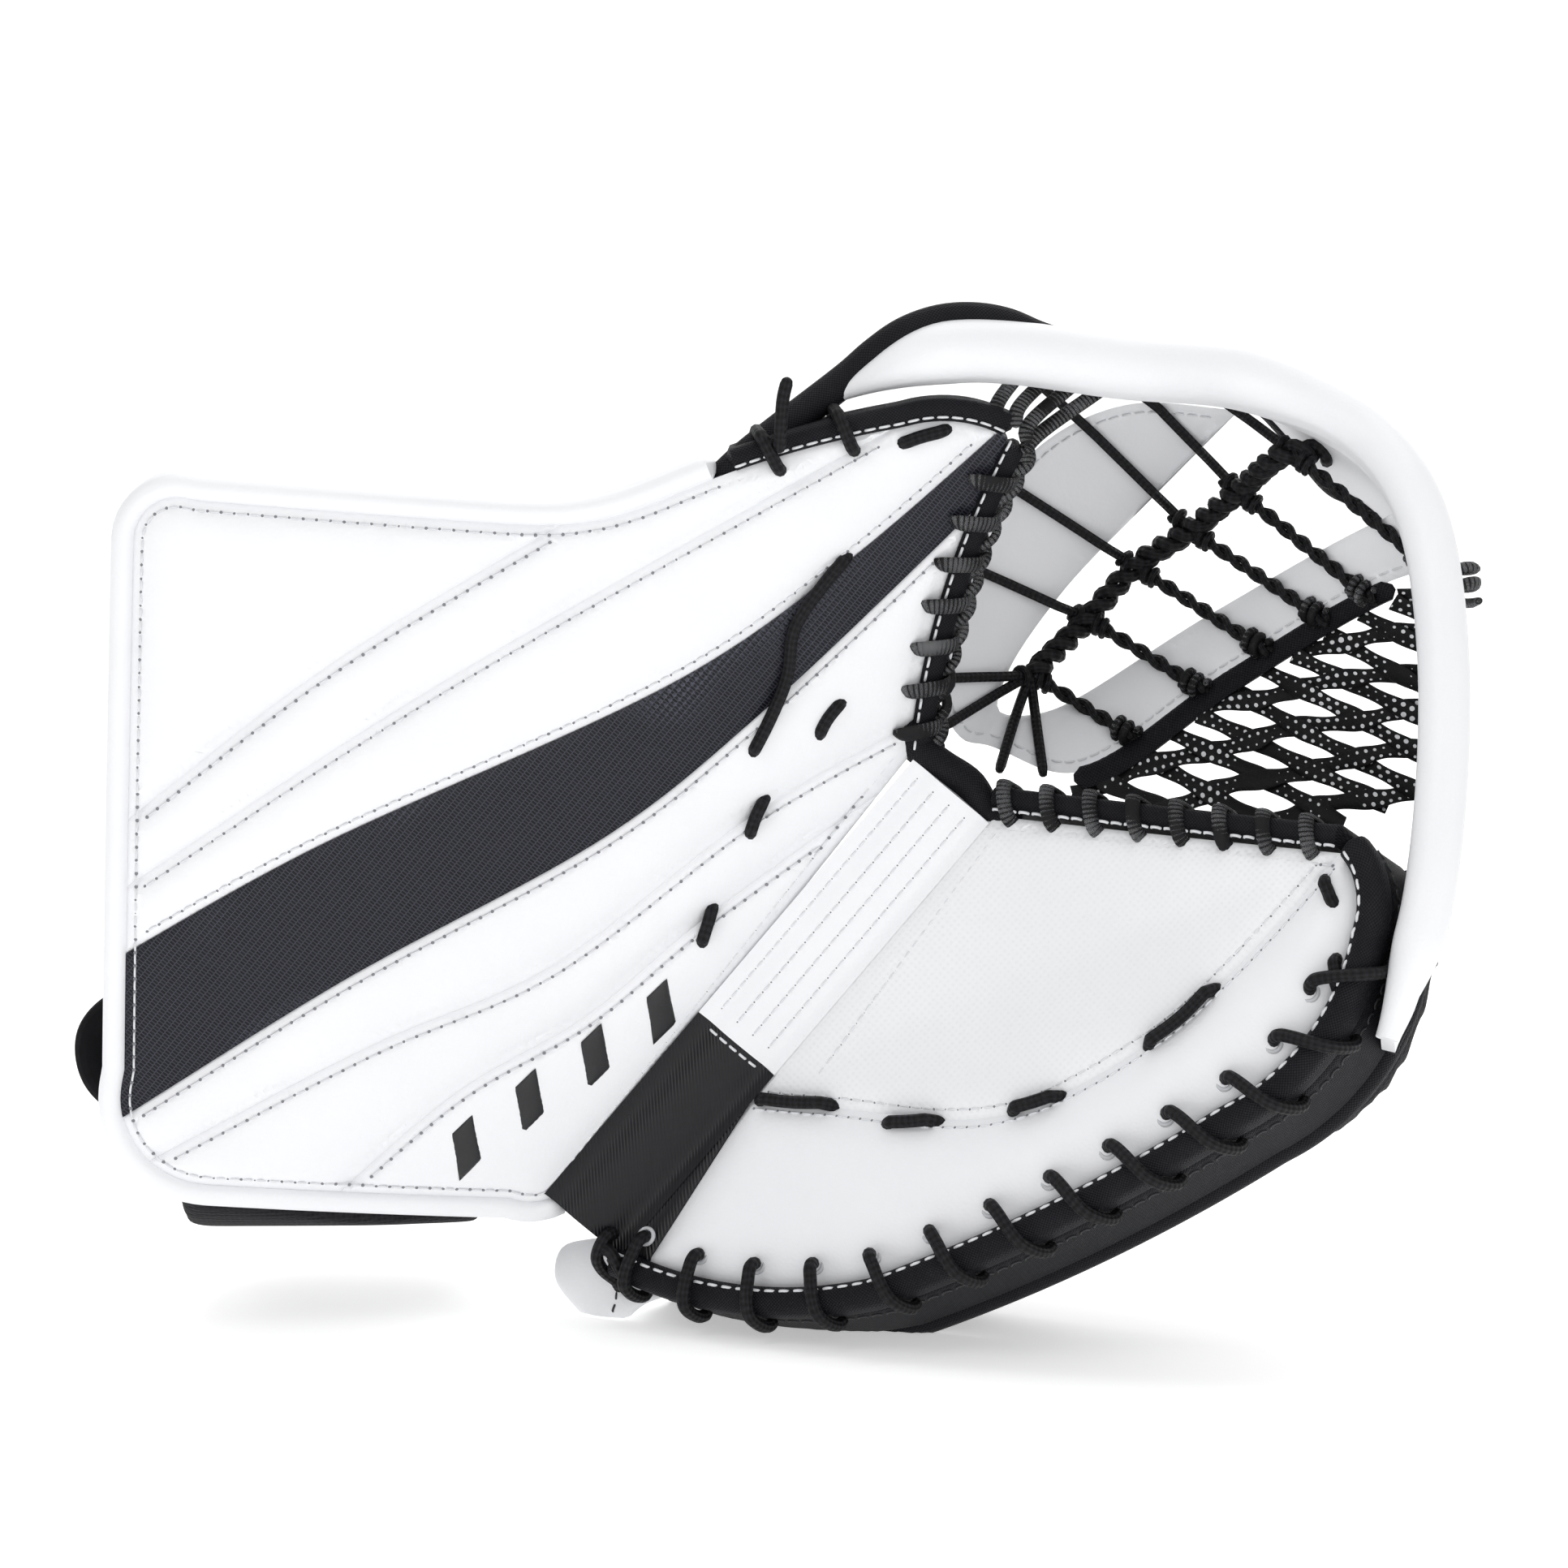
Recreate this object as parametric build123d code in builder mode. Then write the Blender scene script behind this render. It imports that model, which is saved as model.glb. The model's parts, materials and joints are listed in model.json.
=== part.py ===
"""Goalie catch glove: a cuff-and-thumb half and a finger half that fold together along the break,
with a pocket strung between them and padded straps for the wrist and the back of the hand.

Millimetres. +X runs to the pocket, +Y to the back of the hand, +Z up. The glove stands on the little
finger's edge, with the origin on the floor under its middle."""

import os
from math import cos, radians, sin

from build123d import *

# ---- Driving sizes --------------------------------------------------------------------------------
GLOVE_LENGTH = 360.0  # heel to pocket rim, along the break
CUFF_WIDTH = 250.0  # break to the far corner of the cuff
FINGER_WIDTH = 160.0  # break to the finger rim, over the finger board
CUFF_RISE = 60.0  # how far the cuff's far edge stands forward of the break
BREAK_LEAN = 50.0  # degrees that the break line leans up from level
FINGER_TILT = 37.0  # degrees that the finger board turns forward of the break
BREAK_PLACE = (-75.0, 11.0, 29.0)  # heel end of the break line, above the floor

# Layers of both boards, front to back
COVER = 3.0
FOAM = 14.0
BOARD = 2.0
LINING = 2.5
BREAK_GAP = 12.0  # each board stops this far from the break line
BREAK_ROLL = 9.0  # radius of the soft roll in the break
EDGE = 7.0  # width of the bound edge outside a board
EDGE_PROUD = 1.0  # the bound edge stands this far proud of the cover

# Finger rim and back of the hand
RIM_ROLL = 5.5  # radius of the padded finger rim
SIDE_WALL = 7.0  # thickness of the little-finger wall
SIDE_DEPTH = 38.0  # depth of that wall
REAR_ROLL = 4.5  # radius of the binding at its back
HAND_DEPTH = 34.0  # room for the hand behind the finger lining
BACK_PAD = 20.0
FINGER_STALL = 22.0  # height of a finger stall

# Pocket
POCKET_ROLL = 10.0  # radius of the pocket's padded rim
POCKET_WALL = 8.0
THUMB_WALL_DEPTH = 46.0
FINGER_WALL_DEPTH = 36.0
POCKET_BELLY = 58.0  # depth of the pocket's straps and net
STRAP = 4.0  # thickness of the pocket strap
NET = 2.6
NET_PITCH = 17.0  # between crossings of the flat lace net
NET_HOLE = 9.0  # side of a net opening
STRING = 2.4  # radius of one pocket string
BRAID = 4.8  # radius of the braid where the strings meet
LACE = 4.6  # width of the whipped lace

# Wrist
WRIST_RADIUS = 46.0
WRAP = 12.0  # thickness of the wrist wrap
WRAP_LENGTH = 96.0
WEB = 3.0  # thickness of the webbing straps
WRIST_WEB_WIDTH = 40.0
BACK_WEB_WIDTH = 38.0
CLEAR = 0.5  # between pieces that move past each other

# ---- Frames of reference --------------------------------------------------------------------------
LENGTH = GLOVE_LENGTH / 360
CUFF = CUFF_WIDTH / 250
FINGER = FINGER_WIDTH / 160
RISE = CUFF_RISE / 60
STACK = COVER + FOAM + BOARD + LINING

ALONG = Vector(cos(radians(BREAK_LEAN)), 0, sin(radians(BREAK_LEAN)))
ACROSS = Vector(-sin(radians(BREAK_LEAN)), 0, cos(radians(BREAK_LEAN)))
FORWARD = Vector(0, -1, 0)
TILT_COS = cos(radians(FINGER_TILT))
TILT_SIN = sin(radians(FINGER_TILT))
FINGER_UP = FORWARD * TILT_COS + ACROSS * TILT_SIN

# In FACE the outlines are (along the break, towards the thumb), in PALM they lie in the finger board,
# and SECTION cuts across the break: (towards the thumb, forward).
FACE = Plane(origin=BREAK_PLACE, x_dir=ALONG, z_dir=FORWARD)
PALM = Plane(origin=BREAK_PLACE, x_dir=ALONG, z_dir=FINGER_UP)
SECTION = Plane(origin=BREAK_PLACE, x_dir=ACROSS, z_dir=ALONG)
HEEL_END = -120.0 * LENGTH
SPAN = 540.0 * LENGTH
DEEP = 200.0

os.makedirs("parts", exist_ok=True)


def keep(piece, name):
    """Names a finished piece and writes it."""
    piece.part.label = name
    export_step(piece.part, f"parts/{name}.step")


def on_thumb(*points):
    """Outline points of the cuff-and-thumb half."""
    return [(u * LENGTH, v * CUFF) for u, v in points]


def on_finger(*points):
    """Outline points of the finger half: along the break, and out over the finger board."""
    return [(u * LENGTH, -s * FINGER) for u, s in points]


def thumb_place(u, v, forward):
    """A place in space by the thumb half's own measures."""
    return FACE.from_local_coords(Vector(u * LENGTH, v * CUFF, forward * RISE))


def finger_place(u, s, height):
    """A place in space by the finger half's own measures."""
    return PALM.from_local_coords(Vector(u * LENGTH, -s * FINGER, height))


def thumb_layer(front, back):
    """Keeps only what lies between two depths under the thumb half's curved front."""
    with BuildSketch(SECTION.offset(HEEL_END)) as layer:
        with BuildLine():
            face = ThreePointArc(
                (BREAK_GAP, 6 * RISE + front), (128 * CUFF, 48 * RISE + front), (272 * CUFF, 60 * RISE + front)
            )
            rear = ThreePointArc(
                (BREAK_GAP, 6 * RISE + back), (128 * CUFF, 48 * RISE + back), (272 * CUFF, 60 * RISE + back)
            )
            Line(face @ 0, rear @ 0)
            Line(face @ 1, rear @ 1)
        make_face()
    extrude(layer.sketch, amount=SPAN, mode=Mode.INTERSECT)


def finger_layer(front, back):
    """Keeps only what lies between two depths under the finger board's front."""
    with BuildSketch(SECTION.offset(HEEL_END)) as layer:
        with BuildLine():
            face = ThreePointArc(*[section_of_finger(s, h + front) for s, h in FINGER_CURVE])
            rear = ThreePointArc(*[section_of_finger(s, h + back) for s, h in FINGER_CURVE])
            Line(face @ 0, rear @ 0)
            Line(face @ 1, rear @ 1)
        make_face()
    extrude(layer.sketch, amount=SPAN, mode=Mode.INTERSECT)


def section_of_finger(s, height):
    """A point of the finger board's cross-section, drawn in SECTION."""
    return (-(s * TILT_COS - height * TILT_SIN), s * TILT_SIN + height * TILT_COS)


FINGER_CURVE = [(BREAK_GAP + 2, -1), (92 * FINGER, -4), (200 * FINGER, 1)]


def flat_underneath():
    """Presses the piece flat where it stands on the floor."""
    with BuildSketch(Plane.XY) as floor:
        Rectangle(1000, 1000)
    extrude(floor.sketch, amount=-DEEP, mode=Mode.SUBTRACT)


def without(*pieces):
    """Cuts finished neighbours out of the piece, so that they meet face to face."""
    for piece in pieces:
        add(piece.part, mode=Mode.SUBTRACT)


# ---- Cuff and thumb half --------------------------------------------------------------------------
THUMB_HEEL = (6, 12)
CREASE = (186, 18)
THUMB_TIP = (284, 61)
THUMB_BACK = (182, 141)


def thumb_outline():
    """The cuff, the back of the wrist and the thumb in one outline."""
    with BuildSketch() as outline:
        with BuildLine():
            Line(*on_thumb(THUMB_HEEL, CREASE))
            ThreePointArc(*on_thumb(CREASE, (232, 44), THUMB_TIP))
            ThreePointArc(*on_thumb(THUMB_TIP, (278, 77), (266, 89)))
            ThreePointArc(*on_thumb((266, 89), (227, 118), THUMB_BACK))
            Line(*on_thumb(THUMB_BACK, (110, 243)))
            ThreePointArc(*on_thumb((110, 243), (101, 252), (88, 249)))
            Line(*on_thumb((88, 249), (-44, 146)))
            ThreePointArc(*on_thumb((-44, 146), (-62, 124), (-57, 102)))
            Line(*on_thumb((-57, 102), (-5, 24)))
            ThreePointArc(*on_thumb((-5, 24), (0, 15), THUMB_HEEL))
        make_face()
    return outline.sketch


def thumb_board_layer(front, back, inset=0.0):
    """One layer of the thumb half."""
    with BuildSketch(FACE.offset(-DEEP)) as outline:
        add(thumb_outline())
        if inset:
            offset(amount=-inset)
    extrude(outline.sketch, amount=2 * DEEP)
    thumb_layer(front, back)


with BuildPart() as thumb_core:
    thumb_board_layer(-COVER, -COVER - FOAM)
keep(thumb_core, "thumb_core")

with BuildPart() as thumb_board:
    thumb_board_layer(-COVER - FOAM, -COVER - FOAM - BOARD, inset=6.0)
keep(thumb_board, "thumb_board")

with BuildPart() as thumb_lining:
    thumb_board_layer(-COVER - FOAM, -STACK)
    without(thumb_board)
keep(thumb_lining, "thumb_lining")

# Seams across the cuff, from its outer end to the thumb, each drawn a little past the outline
PAST_CORNER = [(-20, 300), (150, 320), (320, 300)]
CORNER_SEAM = [(4, 199), (95, 179), (180, 150)]
UPPER_SEAM = [(-8, 186), (109, 150), (282, 84)]
STRIPE_TOP = [(-26, 174), (45, 147), (167, 89), (225, 74), (300, 62)]
STRIPE_BOTTOM = [(-64, 140), (20, 112), (111, 76), (165, 65), (300, 50)]
LOWER_SEAM = [(-72, 126), (10, 91), (62, 64), (144, 44), (200, 22)]
BADGE_SEAM = [(-60, 72), (14, 60), (57, 44), (105, 35), (198, 10)]
PAST_BREAK = [(-60, 0), (60, 0), (200, 0)]

CUFF_PANELS = {
    "cuff_corner_panel": (PAST_CORNER, CORNER_SEAM),
    "cuff_upper_panel": (CORNER_SEAM, UPPER_SEAM),
    "cuff_chevron_panel": (UPPER_SEAM, STRIPE_TOP),
    "cuff_stripe": (STRIPE_TOP, STRIPE_BOTTOM),
    "cuff_lower_panel": (STRIPE_BOTTOM, LOWER_SEAM),
    "cuff_badge_panel": (LOWER_SEAM, BADGE_SEAM),
    "cuff_heel_panel": (BADGE_SEAM, PAST_BREAK),
}
for name, (upper, lower) in CUFF_PANELS.items():
    with BuildPart() as cuff_panel:
        with BuildSketch(FACE.offset(-DEEP)):
            add(thumb_outline())
            with BuildLine():
                top = Spline(*on_thumb(*upper))
                bottom = Spline(*on_thumb(*lower))
                Line(top @ 0, bottom @ 0)
                Line(top @ 1, bottom @ 1)
            make_face(mode=Mode.INTERSECT)
        extrude(amount=2 * DEEP)
        thumb_layer(0, -COVER)
    keep(cuff_panel, name)

# The bound edge is a band outside the outline, in three stretches
EDGE_STRETCHES = {
    "cuff_edge_roll": [THUMB_BACK, (222, 190), (222, 320), (-140, 320), (-140, 12), THUMB_HEEL, (90, 100)],
    "thumb_top_binding": [THUMB_BACK, (222, 190), (340, 150), (340, 55), THUMB_TIP, (230, 80)],
    "thumb_edge_binding": [THUMB_TIP, (340, 55), (300, -40), (186, -40), CREASE, (215, 70)],
}
edge_pieces = {}
for name, region in EDGE_STRETCHES.items():
    with BuildPart() as edge_piece:
        with BuildSketch(FACE.offset(-DEEP)):
            add(thumb_outline())
            offset(amount=EDGE)
            add(thumb_outline(), mode=Mode.SUBTRACT)
            with BuildLine():
                Polyline(*on_thumb(*region), close=True)
            make_face(mode=Mode.INTERSECT)
        extrude(amount=2 * DEEP)
        thumb_layer(EDGE_PROUD, -STACK)
    edge_pieces[name] = edge_piece
    keep(edge_piece, name)

# Thumb stall: a sleeve behind the lining
with BuildPart() as thumb_sleeve:
    with BuildSketch(SECTION.offset(186 * LENGTH)):
        with Locations((84 * CUFF, 14 * RISE)):
            Circle(33)
            Circle(28, mode=Mode.SUBTRACT)
    extrude(amount=54 * LENGTH)
    thumb_layer(-STACK, -DEEP)
keep(thumb_sleeve, "thumb_sleeve")

# Lace through the cuff's inner end, flat against the covers
with BuildPart() as cuff_lacing:
    for start, end in [((225, 78), (156, 60)), ((190, 49), (160, 61)), ((158, 30), (148, 46))]:
        with BuildSketch(FACE.offset(-DEEP)):
            with BuildLine():
                Line(*on_thumb(start, end))
            trace(line_width=LACE)
    extrude(amount=2 * DEEP)
    thumb_layer(0.8 * LACE, 0)
keep(cuff_lacing, "cuff_lacing")

# ---- Pocket rim on the thumb side ------------------------------------------------------------------
THUMB_RIM = [(256, 112, 28), (291, 94, 27), (325, 44, 10), (345, 13, -4)]
THUMB_WALL_END = (336, 27)
RIM_TO_WALL = 14.0  # depth at which the pocket's wall starts, behind the rolled rim
BINDING = 6.0


def roll(points, radius, tangents=None):
    """A padded roll along a smooth line through the points; gives the line back."""
    with BuildLine() as route:
        line = Spline(*points, tangents=tangents)
    with BuildSketch(Plane(origin=line @ 0, z_dir=line % 0)) as section:
        Circle(radius)
    sweep(section.sketch, path=route.line)
    return line


def thumb_pocket_wall(front, back, thickness):
    """The pocket's wall on the thumb side, between two depths."""
    with BuildSketch(FACE.offset(-DEEP)) as wall:
        with BuildLine():
            Spline(*on_thumb(*[(u, v) for u, v, forward in THUMB_RIM[:-1]], THUMB_WALL_END))
        trace(line_width=thickness)
    extrude(wall.sketch, amount=2 * DEEP)
    thumb_layer(front, back)


with BuildPart() as pocket_rim_thumb:
    thumb_rim_line = roll([thumb_place(*point) for point in THUMB_RIM], POCKET_ROLL)
    without(edge_pieces["thumb_top_binding"])
keep(pocket_rim_thumb, "pocket_rim_thumb")

with BuildPart() as pocket_wall_thumb:
    thumb_pocket_wall(-RIM_TO_WALL, -RIM_TO_WALL - THUMB_WALL_DEPTH, POCKET_WALL)
    without(pocket_rim_thumb, edge_pieces["thumb_top_binding"])
keep(pocket_wall_thumb, "pocket_wall_thumb")

with BuildPart() as pocket_binding_thumb:
    thumb_wall_end = -RIM_TO_WALL - THUMB_WALL_DEPTH
    thumb_pocket_wall(thumb_wall_end, thumb_wall_end - BINDING, POCKET_WALL + 3)
keep(pocket_binding_thumb, "pocket_binding_thumb")

# ---- Wrist wrap and its strap ---------------------------------------------------------------------
WRIST = Plane(origin=Vector(*BREAK_PLACE) + Vector(-128 * CUFF, 23, 56), x_dir=(0, 1, 0), z_dir=(1, 0, 0))


def wrist_arc(inner, outer, start, end):
    """Part of a ring about the wrist, its angles counted from straight back, over the top."""
    with BuildSketch() as ring:
        with BuildLine():
            near = CenterArc((0, 0), inner, start, end - start)
            far = CenterArc((0, 0), outer, start, end - start)
            Line(near @ 0, far @ 0)
            Line(near @ 1, far @ 1)
        make_face()
    return ring.sketch


WRAP_OUTER = WRIST_RADIUS + WRAP
WEB_INNER = WRAP_OUTER + CLEAR
WEB_START = (WRAP_LENGTH - WRIST_WEB_WIDTH) / 2

with BuildPart() as wrist_wrap:
    with BuildSketch(WRIST):
        add(wrist_arc(WRIST_RADIUS, WRAP_OUTER, -170, 62))
    extrude(amount=WRAP_LENGTH)
    thumb_layer(-STACK, -DEEP)
keep(wrist_wrap, "wrist_wrap")

with BuildPart() as strap_anchor:
    with BuildSketch(WRIST.offset(WEB_START - 3)):
        add(wrist_arc(WRAP_OUTER, WEB_INNER + WEB + 1, -14, 6))
    extrude(amount=WRIST_WEB_WIDTH + 6)
keep(strap_anchor, "strap_anchor")

with BuildPart() as strap_keeper:
    with BuildSketch(WRIST.offset(WEB_START - 3)):
        add(wrist_arc(WEB_INNER - 5, WEB_INNER + WEB + 5, 132, 165))
    extrude(amount=WRIST_WEB_WIDTH + 6)
    thumb_layer(-STACK, -DEEP)
keep(strap_keeper, "strap_keeper")

with BuildPart() as wrist_strap:
    with BuildSketch(WRIST.offset(WEB_START)):
        add(wrist_arc(WEB_INNER, WEB_INNER + WEB, 9, 118))
    extrude(amount=WRIST_WEB_WIDTH)
keep(wrist_strap, "wrist_strap")

with BuildPart() as wrist_strap_tab:
    with BuildSketch(WRIST.offset(WEB_START + 4)):
        add(wrist_arc(WEB_INNER, WEB_INNER + WEB, 118, 131))
    extrude(amount=WRIST_WEB_WIDTH - 8)
keep(wrist_strap_tab, "wrist_strap_tab")

# ---- Finger half ----------------------------------------------------------------------------------
FINGER_HEEL = (4, 14)
PALM_CORNER = (187, 14)
RIM_END = (254, 118)
FINGER_RIM = [
    [FINGER_HEEL, (22, 54), (56, 92)],
    [(56, 92), (110, 121), (172, 146)],
    [(172, 146), (208, 152), (238, 141)],
    [(238, 141), (250, 131), RIM_END],
]
PALM_SEAM = [(60, 4), (84, 38), (121, 87), (169, 110), (204, 116), (262, 118)]


def finger_outline():
    """Palm and fingers in one outline, from the heel round the rim to the crease."""
    with BuildSketch() as outline:
        with BuildLine():
            Line(*on_finger(PALM_CORNER, FINGER_HEEL))
            for stretch in FINGER_RIM:
                ThreePointArc(*on_finger(*stretch))
            Line(*on_finger(RIM_END, PALM_CORNER))
        make_face()
    return outline.sketch


def finger_board_layer(front, back, inset=0.0):
    """One layer of the finger half."""
    with BuildSketch(PALM.offset(-DEEP)) as outline:
        add(finger_outline())
        if inset:
            offset(amount=-inset)
    extrude(outline.sketch, amount=2 * DEEP)
    finger_layer(front, back)


with BuildPart() as finger_core:
    finger_board_layer(-COVER, -COVER - FOAM)
keep(finger_core, "finger_core")

with BuildPart() as finger_board:
    finger_board_layer(-COVER - FOAM, -COVER - FOAM - BOARD, inset=6.0)
keep(finger_board, "finger_board")

with BuildPart() as finger_lining:
    finger_board_layer(-COVER - FOAM, -STACK)
    without(finger_board)
keep(finger_lining, "finger_lining")

with BuildPart() as heel_gusset:
    with BuildSketch(PALM.offset(-DEEP)):
        add(finger_outline())
        with BuildLine():
            Polyline(*on_finger((-30, 0), (84, 0), (72, 24), (14, 44), (-30, 60)), close=True)
        make_face(mode=Mode.INTERSECT)
    extrude(amount=2 * DEEP)
    finger_layer(0, -COVER)
keep(heel_gusset, "heel_gusset")

with BuildPart() as palm_panel:
    with BuildSketch(PALM.offset(-DEEP)):
        add(finger_outline())
        with BuildLine():
            seam = Spline(*on_finger(*PALM_SEAM))
            Polyline(seam @ 1, *on_finger((262, 0), (60, 0)), seam @ 0)
        make_face(mode=Mode.INTERSECT)
    extrude(amount=2 * DEEP)
    finger_layer(0, -COVER)
    without(heel_gusset)
keep(palm_panel, "palm_panel")

with BuildPart() as finger_panel:
    finger_board_layer(0, -COVER)
    without(heel_gusset, palm_panel)
keep(finger_panel, "finger_panel")

# Padded rim, side wall and rear binding follow the same line, one behind the other


def rim_wall(start, end, thickness):
    """A wall outside the finger rim between two heights over the finger board."""
    with BuildSketch(PALM.offset(end)) as wall:
        add(finger_outline())
        offset(amount=thickness)
        add(finger_outline(), mode=Mode.SUBTRACT)
        with BuildLine():
            Polyline(
                *on_finger(FINGER_HEEL, (-60, 14), (-60, 260), (254, 260), RIM_END, (150, 90)),
                close=True,
            )
        make_face(mode=Mode.INTERSECT)
    extrude(wall.sketch, amount=start - end)


with BuildPart() as finger_rim:
    rim_wall(EDGE_PROUD + 1, -2 * RIM_ROLL, SIDE_WALL + 2)
    flat_underneath()
keep(finger_rim, "finger_rim")

with BuildPart() as side_wall:
    rim_wall(-2 * RIM_ROLL, -SIDE_DEPTH, SIDE_WALL)
    flat_underneath()
keep(side_wall, "side_wall")

with BuildPart() as rear_binding:
    rim_wall(-SIDE_DEPTH, -SIDE_DEPTH - 2 * REAR_ROLL, SIDE_WALL + 2)
    flat_underneath()
keep(rear_binding, "rear_binding")

with BuildPart() as palm_edge_binding:
    with BuildSketch(PALM.offset(-DEEP)):
        add(finger_outline())
        offset(amount=EDGE)
        add(finger_outline(), mode=Mode.SUBTRACT)
        with BuildLine():
            Polyline(
                *on_finger(PALM_CORNER, (196, 8), (300, 60), (290, 112), RIM_END, (150, 90)), close=True
            )
        make_face(mode=Mode.INTERSECT)
    extrude(amount=2 * DEEP)
    finger_layer(EDGE_PROUD, -STACK)
    without(finger_rim)
keep(palm_edge_binding, "palm_edge_binding")

# Whipped lace over the finger rim, and stitches of lace along the palm seam
RIM_LOOPS = 13
with BuildPart() as rim_lacing:
    with BuildLine(PALM) as rim_route:
        for stretch in FINGER_RIM[:3]:
            ThreePointArc(*on_finger(*stretch))
    rim_line = Wire(rim_route.edges())
    for loop in range(RIM_LOOPS):
        share = 0.03 + 0.91 * loop / (RIM_LOOPS - 1)
        along_rim = rim_line % share
        loop_plane = Plane(origin=rim_line @ share, x_dir=FINGER_UP.cross(along_rim), z_dir=along_rim)
        outer = -SIDE_WALL - 2
        top = EDGE_PROUD + 1
        with BuildSketch(loop_plane):
            with BuildLine():
                Polyline(
                    (4, top),
                    (4, top + LACE / 2),
                    (outer - LACE / 2, top + LACE / 2),
                    (outer - LACE / 2, -2 * RIM_ROLL),
                    (outer, -2 * RIM_ROLL),
                    (outer, top),
                    close=True,
                )
            make_face()
        extrude(amount=LACE / 2, both=True)
    flat_underneath()
keep(rim_lacing, "rim_lacing")

PALM_STITCHES = [
    ((70, 22), (84, 38)),
    ((92, 56), (107, 73)),
    ((121, 87), (140, 101)),
    ((169, 112), (199, 117)),
    ((212, 146), (224, 132)),
]
with BuildPart() as palm_lacing:
    for start, end in PALM_STITCHES:
        with BuildSketch(PALM.offset(-DEEP)):
            with BuildLine():
                Line(*on_finger(start, end))
            trace(line_width=LACE)
    extrude(amount=2 * DEEP)
    finger_layer(LACE / 2, 0)
keep(palm_lacing, "palm_lacing")

# Soft roll that fills the break, black at the heel
HEEL_ROLL_LENGTH = 60.0
with BuildPart() as heel_roll:
    with BuildSketch(SECTION):
        Circle(BREAK_ROLL)
    extrude(amount=HEEL_ROLL_LENGTH * LENGTH)
keep(heel_roll, "heel_roll")

with BuildPart() as break_roll:
    with BuildSketch(SECTION.offset(HEEL_ROLL_LENGTH * LENGTH)):
        Circle(BREAK_ROLL)
    extrude(amount=(185 - HEEL_ROLL_LENGTH) * LENGTH)
keep(break_roll, "break_roll")

with BuildPart() as heel_tab:
    with BuildSketch(PALM.offset(-17)):
        with BuildLine():
            Polyline(*on_finger((4, 10), (-11, 10), (-12, 20), (-4, 30), (8, 34)), close=True)
        make_face()
    extrude(amount=3)
    without(side_wall, finger_core)
keep(heel_tab, "heel_tab")

# Four finger stalls behind the finger lining: walls between the fingers, closed by a sheet
FINGERS_TURN = 33.0  # degrees between the fingers and the break, in the finger board
FINGERS_MIDDLE = (146, 74)
STALL_LENGTH = 96.0
STALL_WIDTH = 22.5  # from one stall to the next
STALL_WALL = 2.5
STALL_SHEET = 2.0


def stall_layer(front, back):
    """Pieces between the fingers, inside the finger outline, between two heights over the board."""
    with BuildSketch(PALM.offset(back)) as stalls:
        with Locations(*on_finger(FINGERS_MIDDLE)):
            with Locations(Rotation(0, 0, -FINGERS_TURN)):
                with GridLocations(0, STALL_WIDTH, 1, 5):
                    Rectangle(STALL_LENGTH, STALL_WALL)
        add(finger_outline(), mode=Mode.INTERSECT)
    extrude(stalls.sketch, amount=front - back)


with BuildPart() as stall_walls:
    stall_layer(0, -STACK - FINGER_STALL)
    finger_layer(-STACK, -DEEP)
keep(stall_walls, "stall_walls")

with BuildPart() as stall_sheet:
    with BuildSketch(PALM.offset(-STACK - FINGER_STALL - STALL_SHEET)):
        with Locations(*on_finger(FINGERS_MIDDLE)):
            Rectangle(STALL_LENGTH, 4 * STALL_WIDTH + STALL_WALL, rotation=-FINGERS_TURN)
        add(finger_outline(), mode=Mode.INTERSECT)
    extrude(amount=STALL_SHEET)
keep(stall_sheet, "stall_sheet")

# Pad over the back of the hand, hollow towards the hand
PAD_FRONT = -SIDE_DEPTH - 2 * REAR_ROLL
PAD_INNER = -STACK - HAND_DEPTH
PAD_BACK = PAD_INNER - BACK_PAD
PAD_EDGE = 9.0
with BuildPart() as backhand_pad:
    with BuildSketch(PALM.offset(PAD_BACK)):
        add(finger_outline())
        with BuildLine():
            Polyline(*on_finger((20, 16), (188, 16), (262, 124), (200, 180), (-10, 120)), close=True)
        make_face(mode=Mode.INTERSECT)
    extrude(amount=PAD_FRONT - PAD_BACK)
    with BuildSketch(PALM.offset(PAD_INNER)):
        add(finger_outline())
        offset(amount=-PAD_EDGE)
        with BuildLine():
            Polyline(*on_finger((-40, -20), (170, -20), (236, 112), (190, 160), (-40, 160)), close=True)
        make_face(mode=Mode.INTERSECT)
    extrude(amount=PAD_FRONT - PAD_INNER, mode=Mode.SUBTRACT)
    with BuildSketch(PALM.offset(PAD_INNER)):
        with BuildLine():
            Polyline(*on_finger((-40, -20), (150, -20), (150, 30), (-40, 30)), close=True)
        make_face()
    extrude(amount=PAD_FRONT - PAD_INNER, mode=Mode.SUBTRACT)
    flat_underneath()
keep(backhand_pad, "backhand_pad")

# Strap over the back of the hand
BACK_WEB_START = 20.0
BACK_WEB_END = 88.0
BACK_WEB_MIDDLE = 99.0


def back_strap_piece(near, far, width, front, back):
    """A flat piece of strap on the backhand pad."""
    with BuildSketch(PALM.offset(back)) as web:
        with Locations((BACK_WEB_MIDDLE * LENGTH, -(near + far) / 2 * FINGER)):
            Rectangle(width, (far - near) * FINGER)
    extrude(web.sketch, amount=front - back)


with BuildPart() as back_strap_anchor:
    back_strap_piece(8, BACK_WEB_START - 2.5, BACK_WEB_WIDTH + 4, PAD_BACK, PAD_BACK - WEB - 2)
keep(back_strap_anchor, "back_strap_anchor")

with BuildPart() as back_strap:
    back_strap_piece(
        BACK_WEB_START, BACK_WEB_END, BACK_WEB_WIDTH, PAD_BACK - CLEAR, PAD_BACK - CLEAR - WEB
    )
keep(back_strap, "back_strap")

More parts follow.
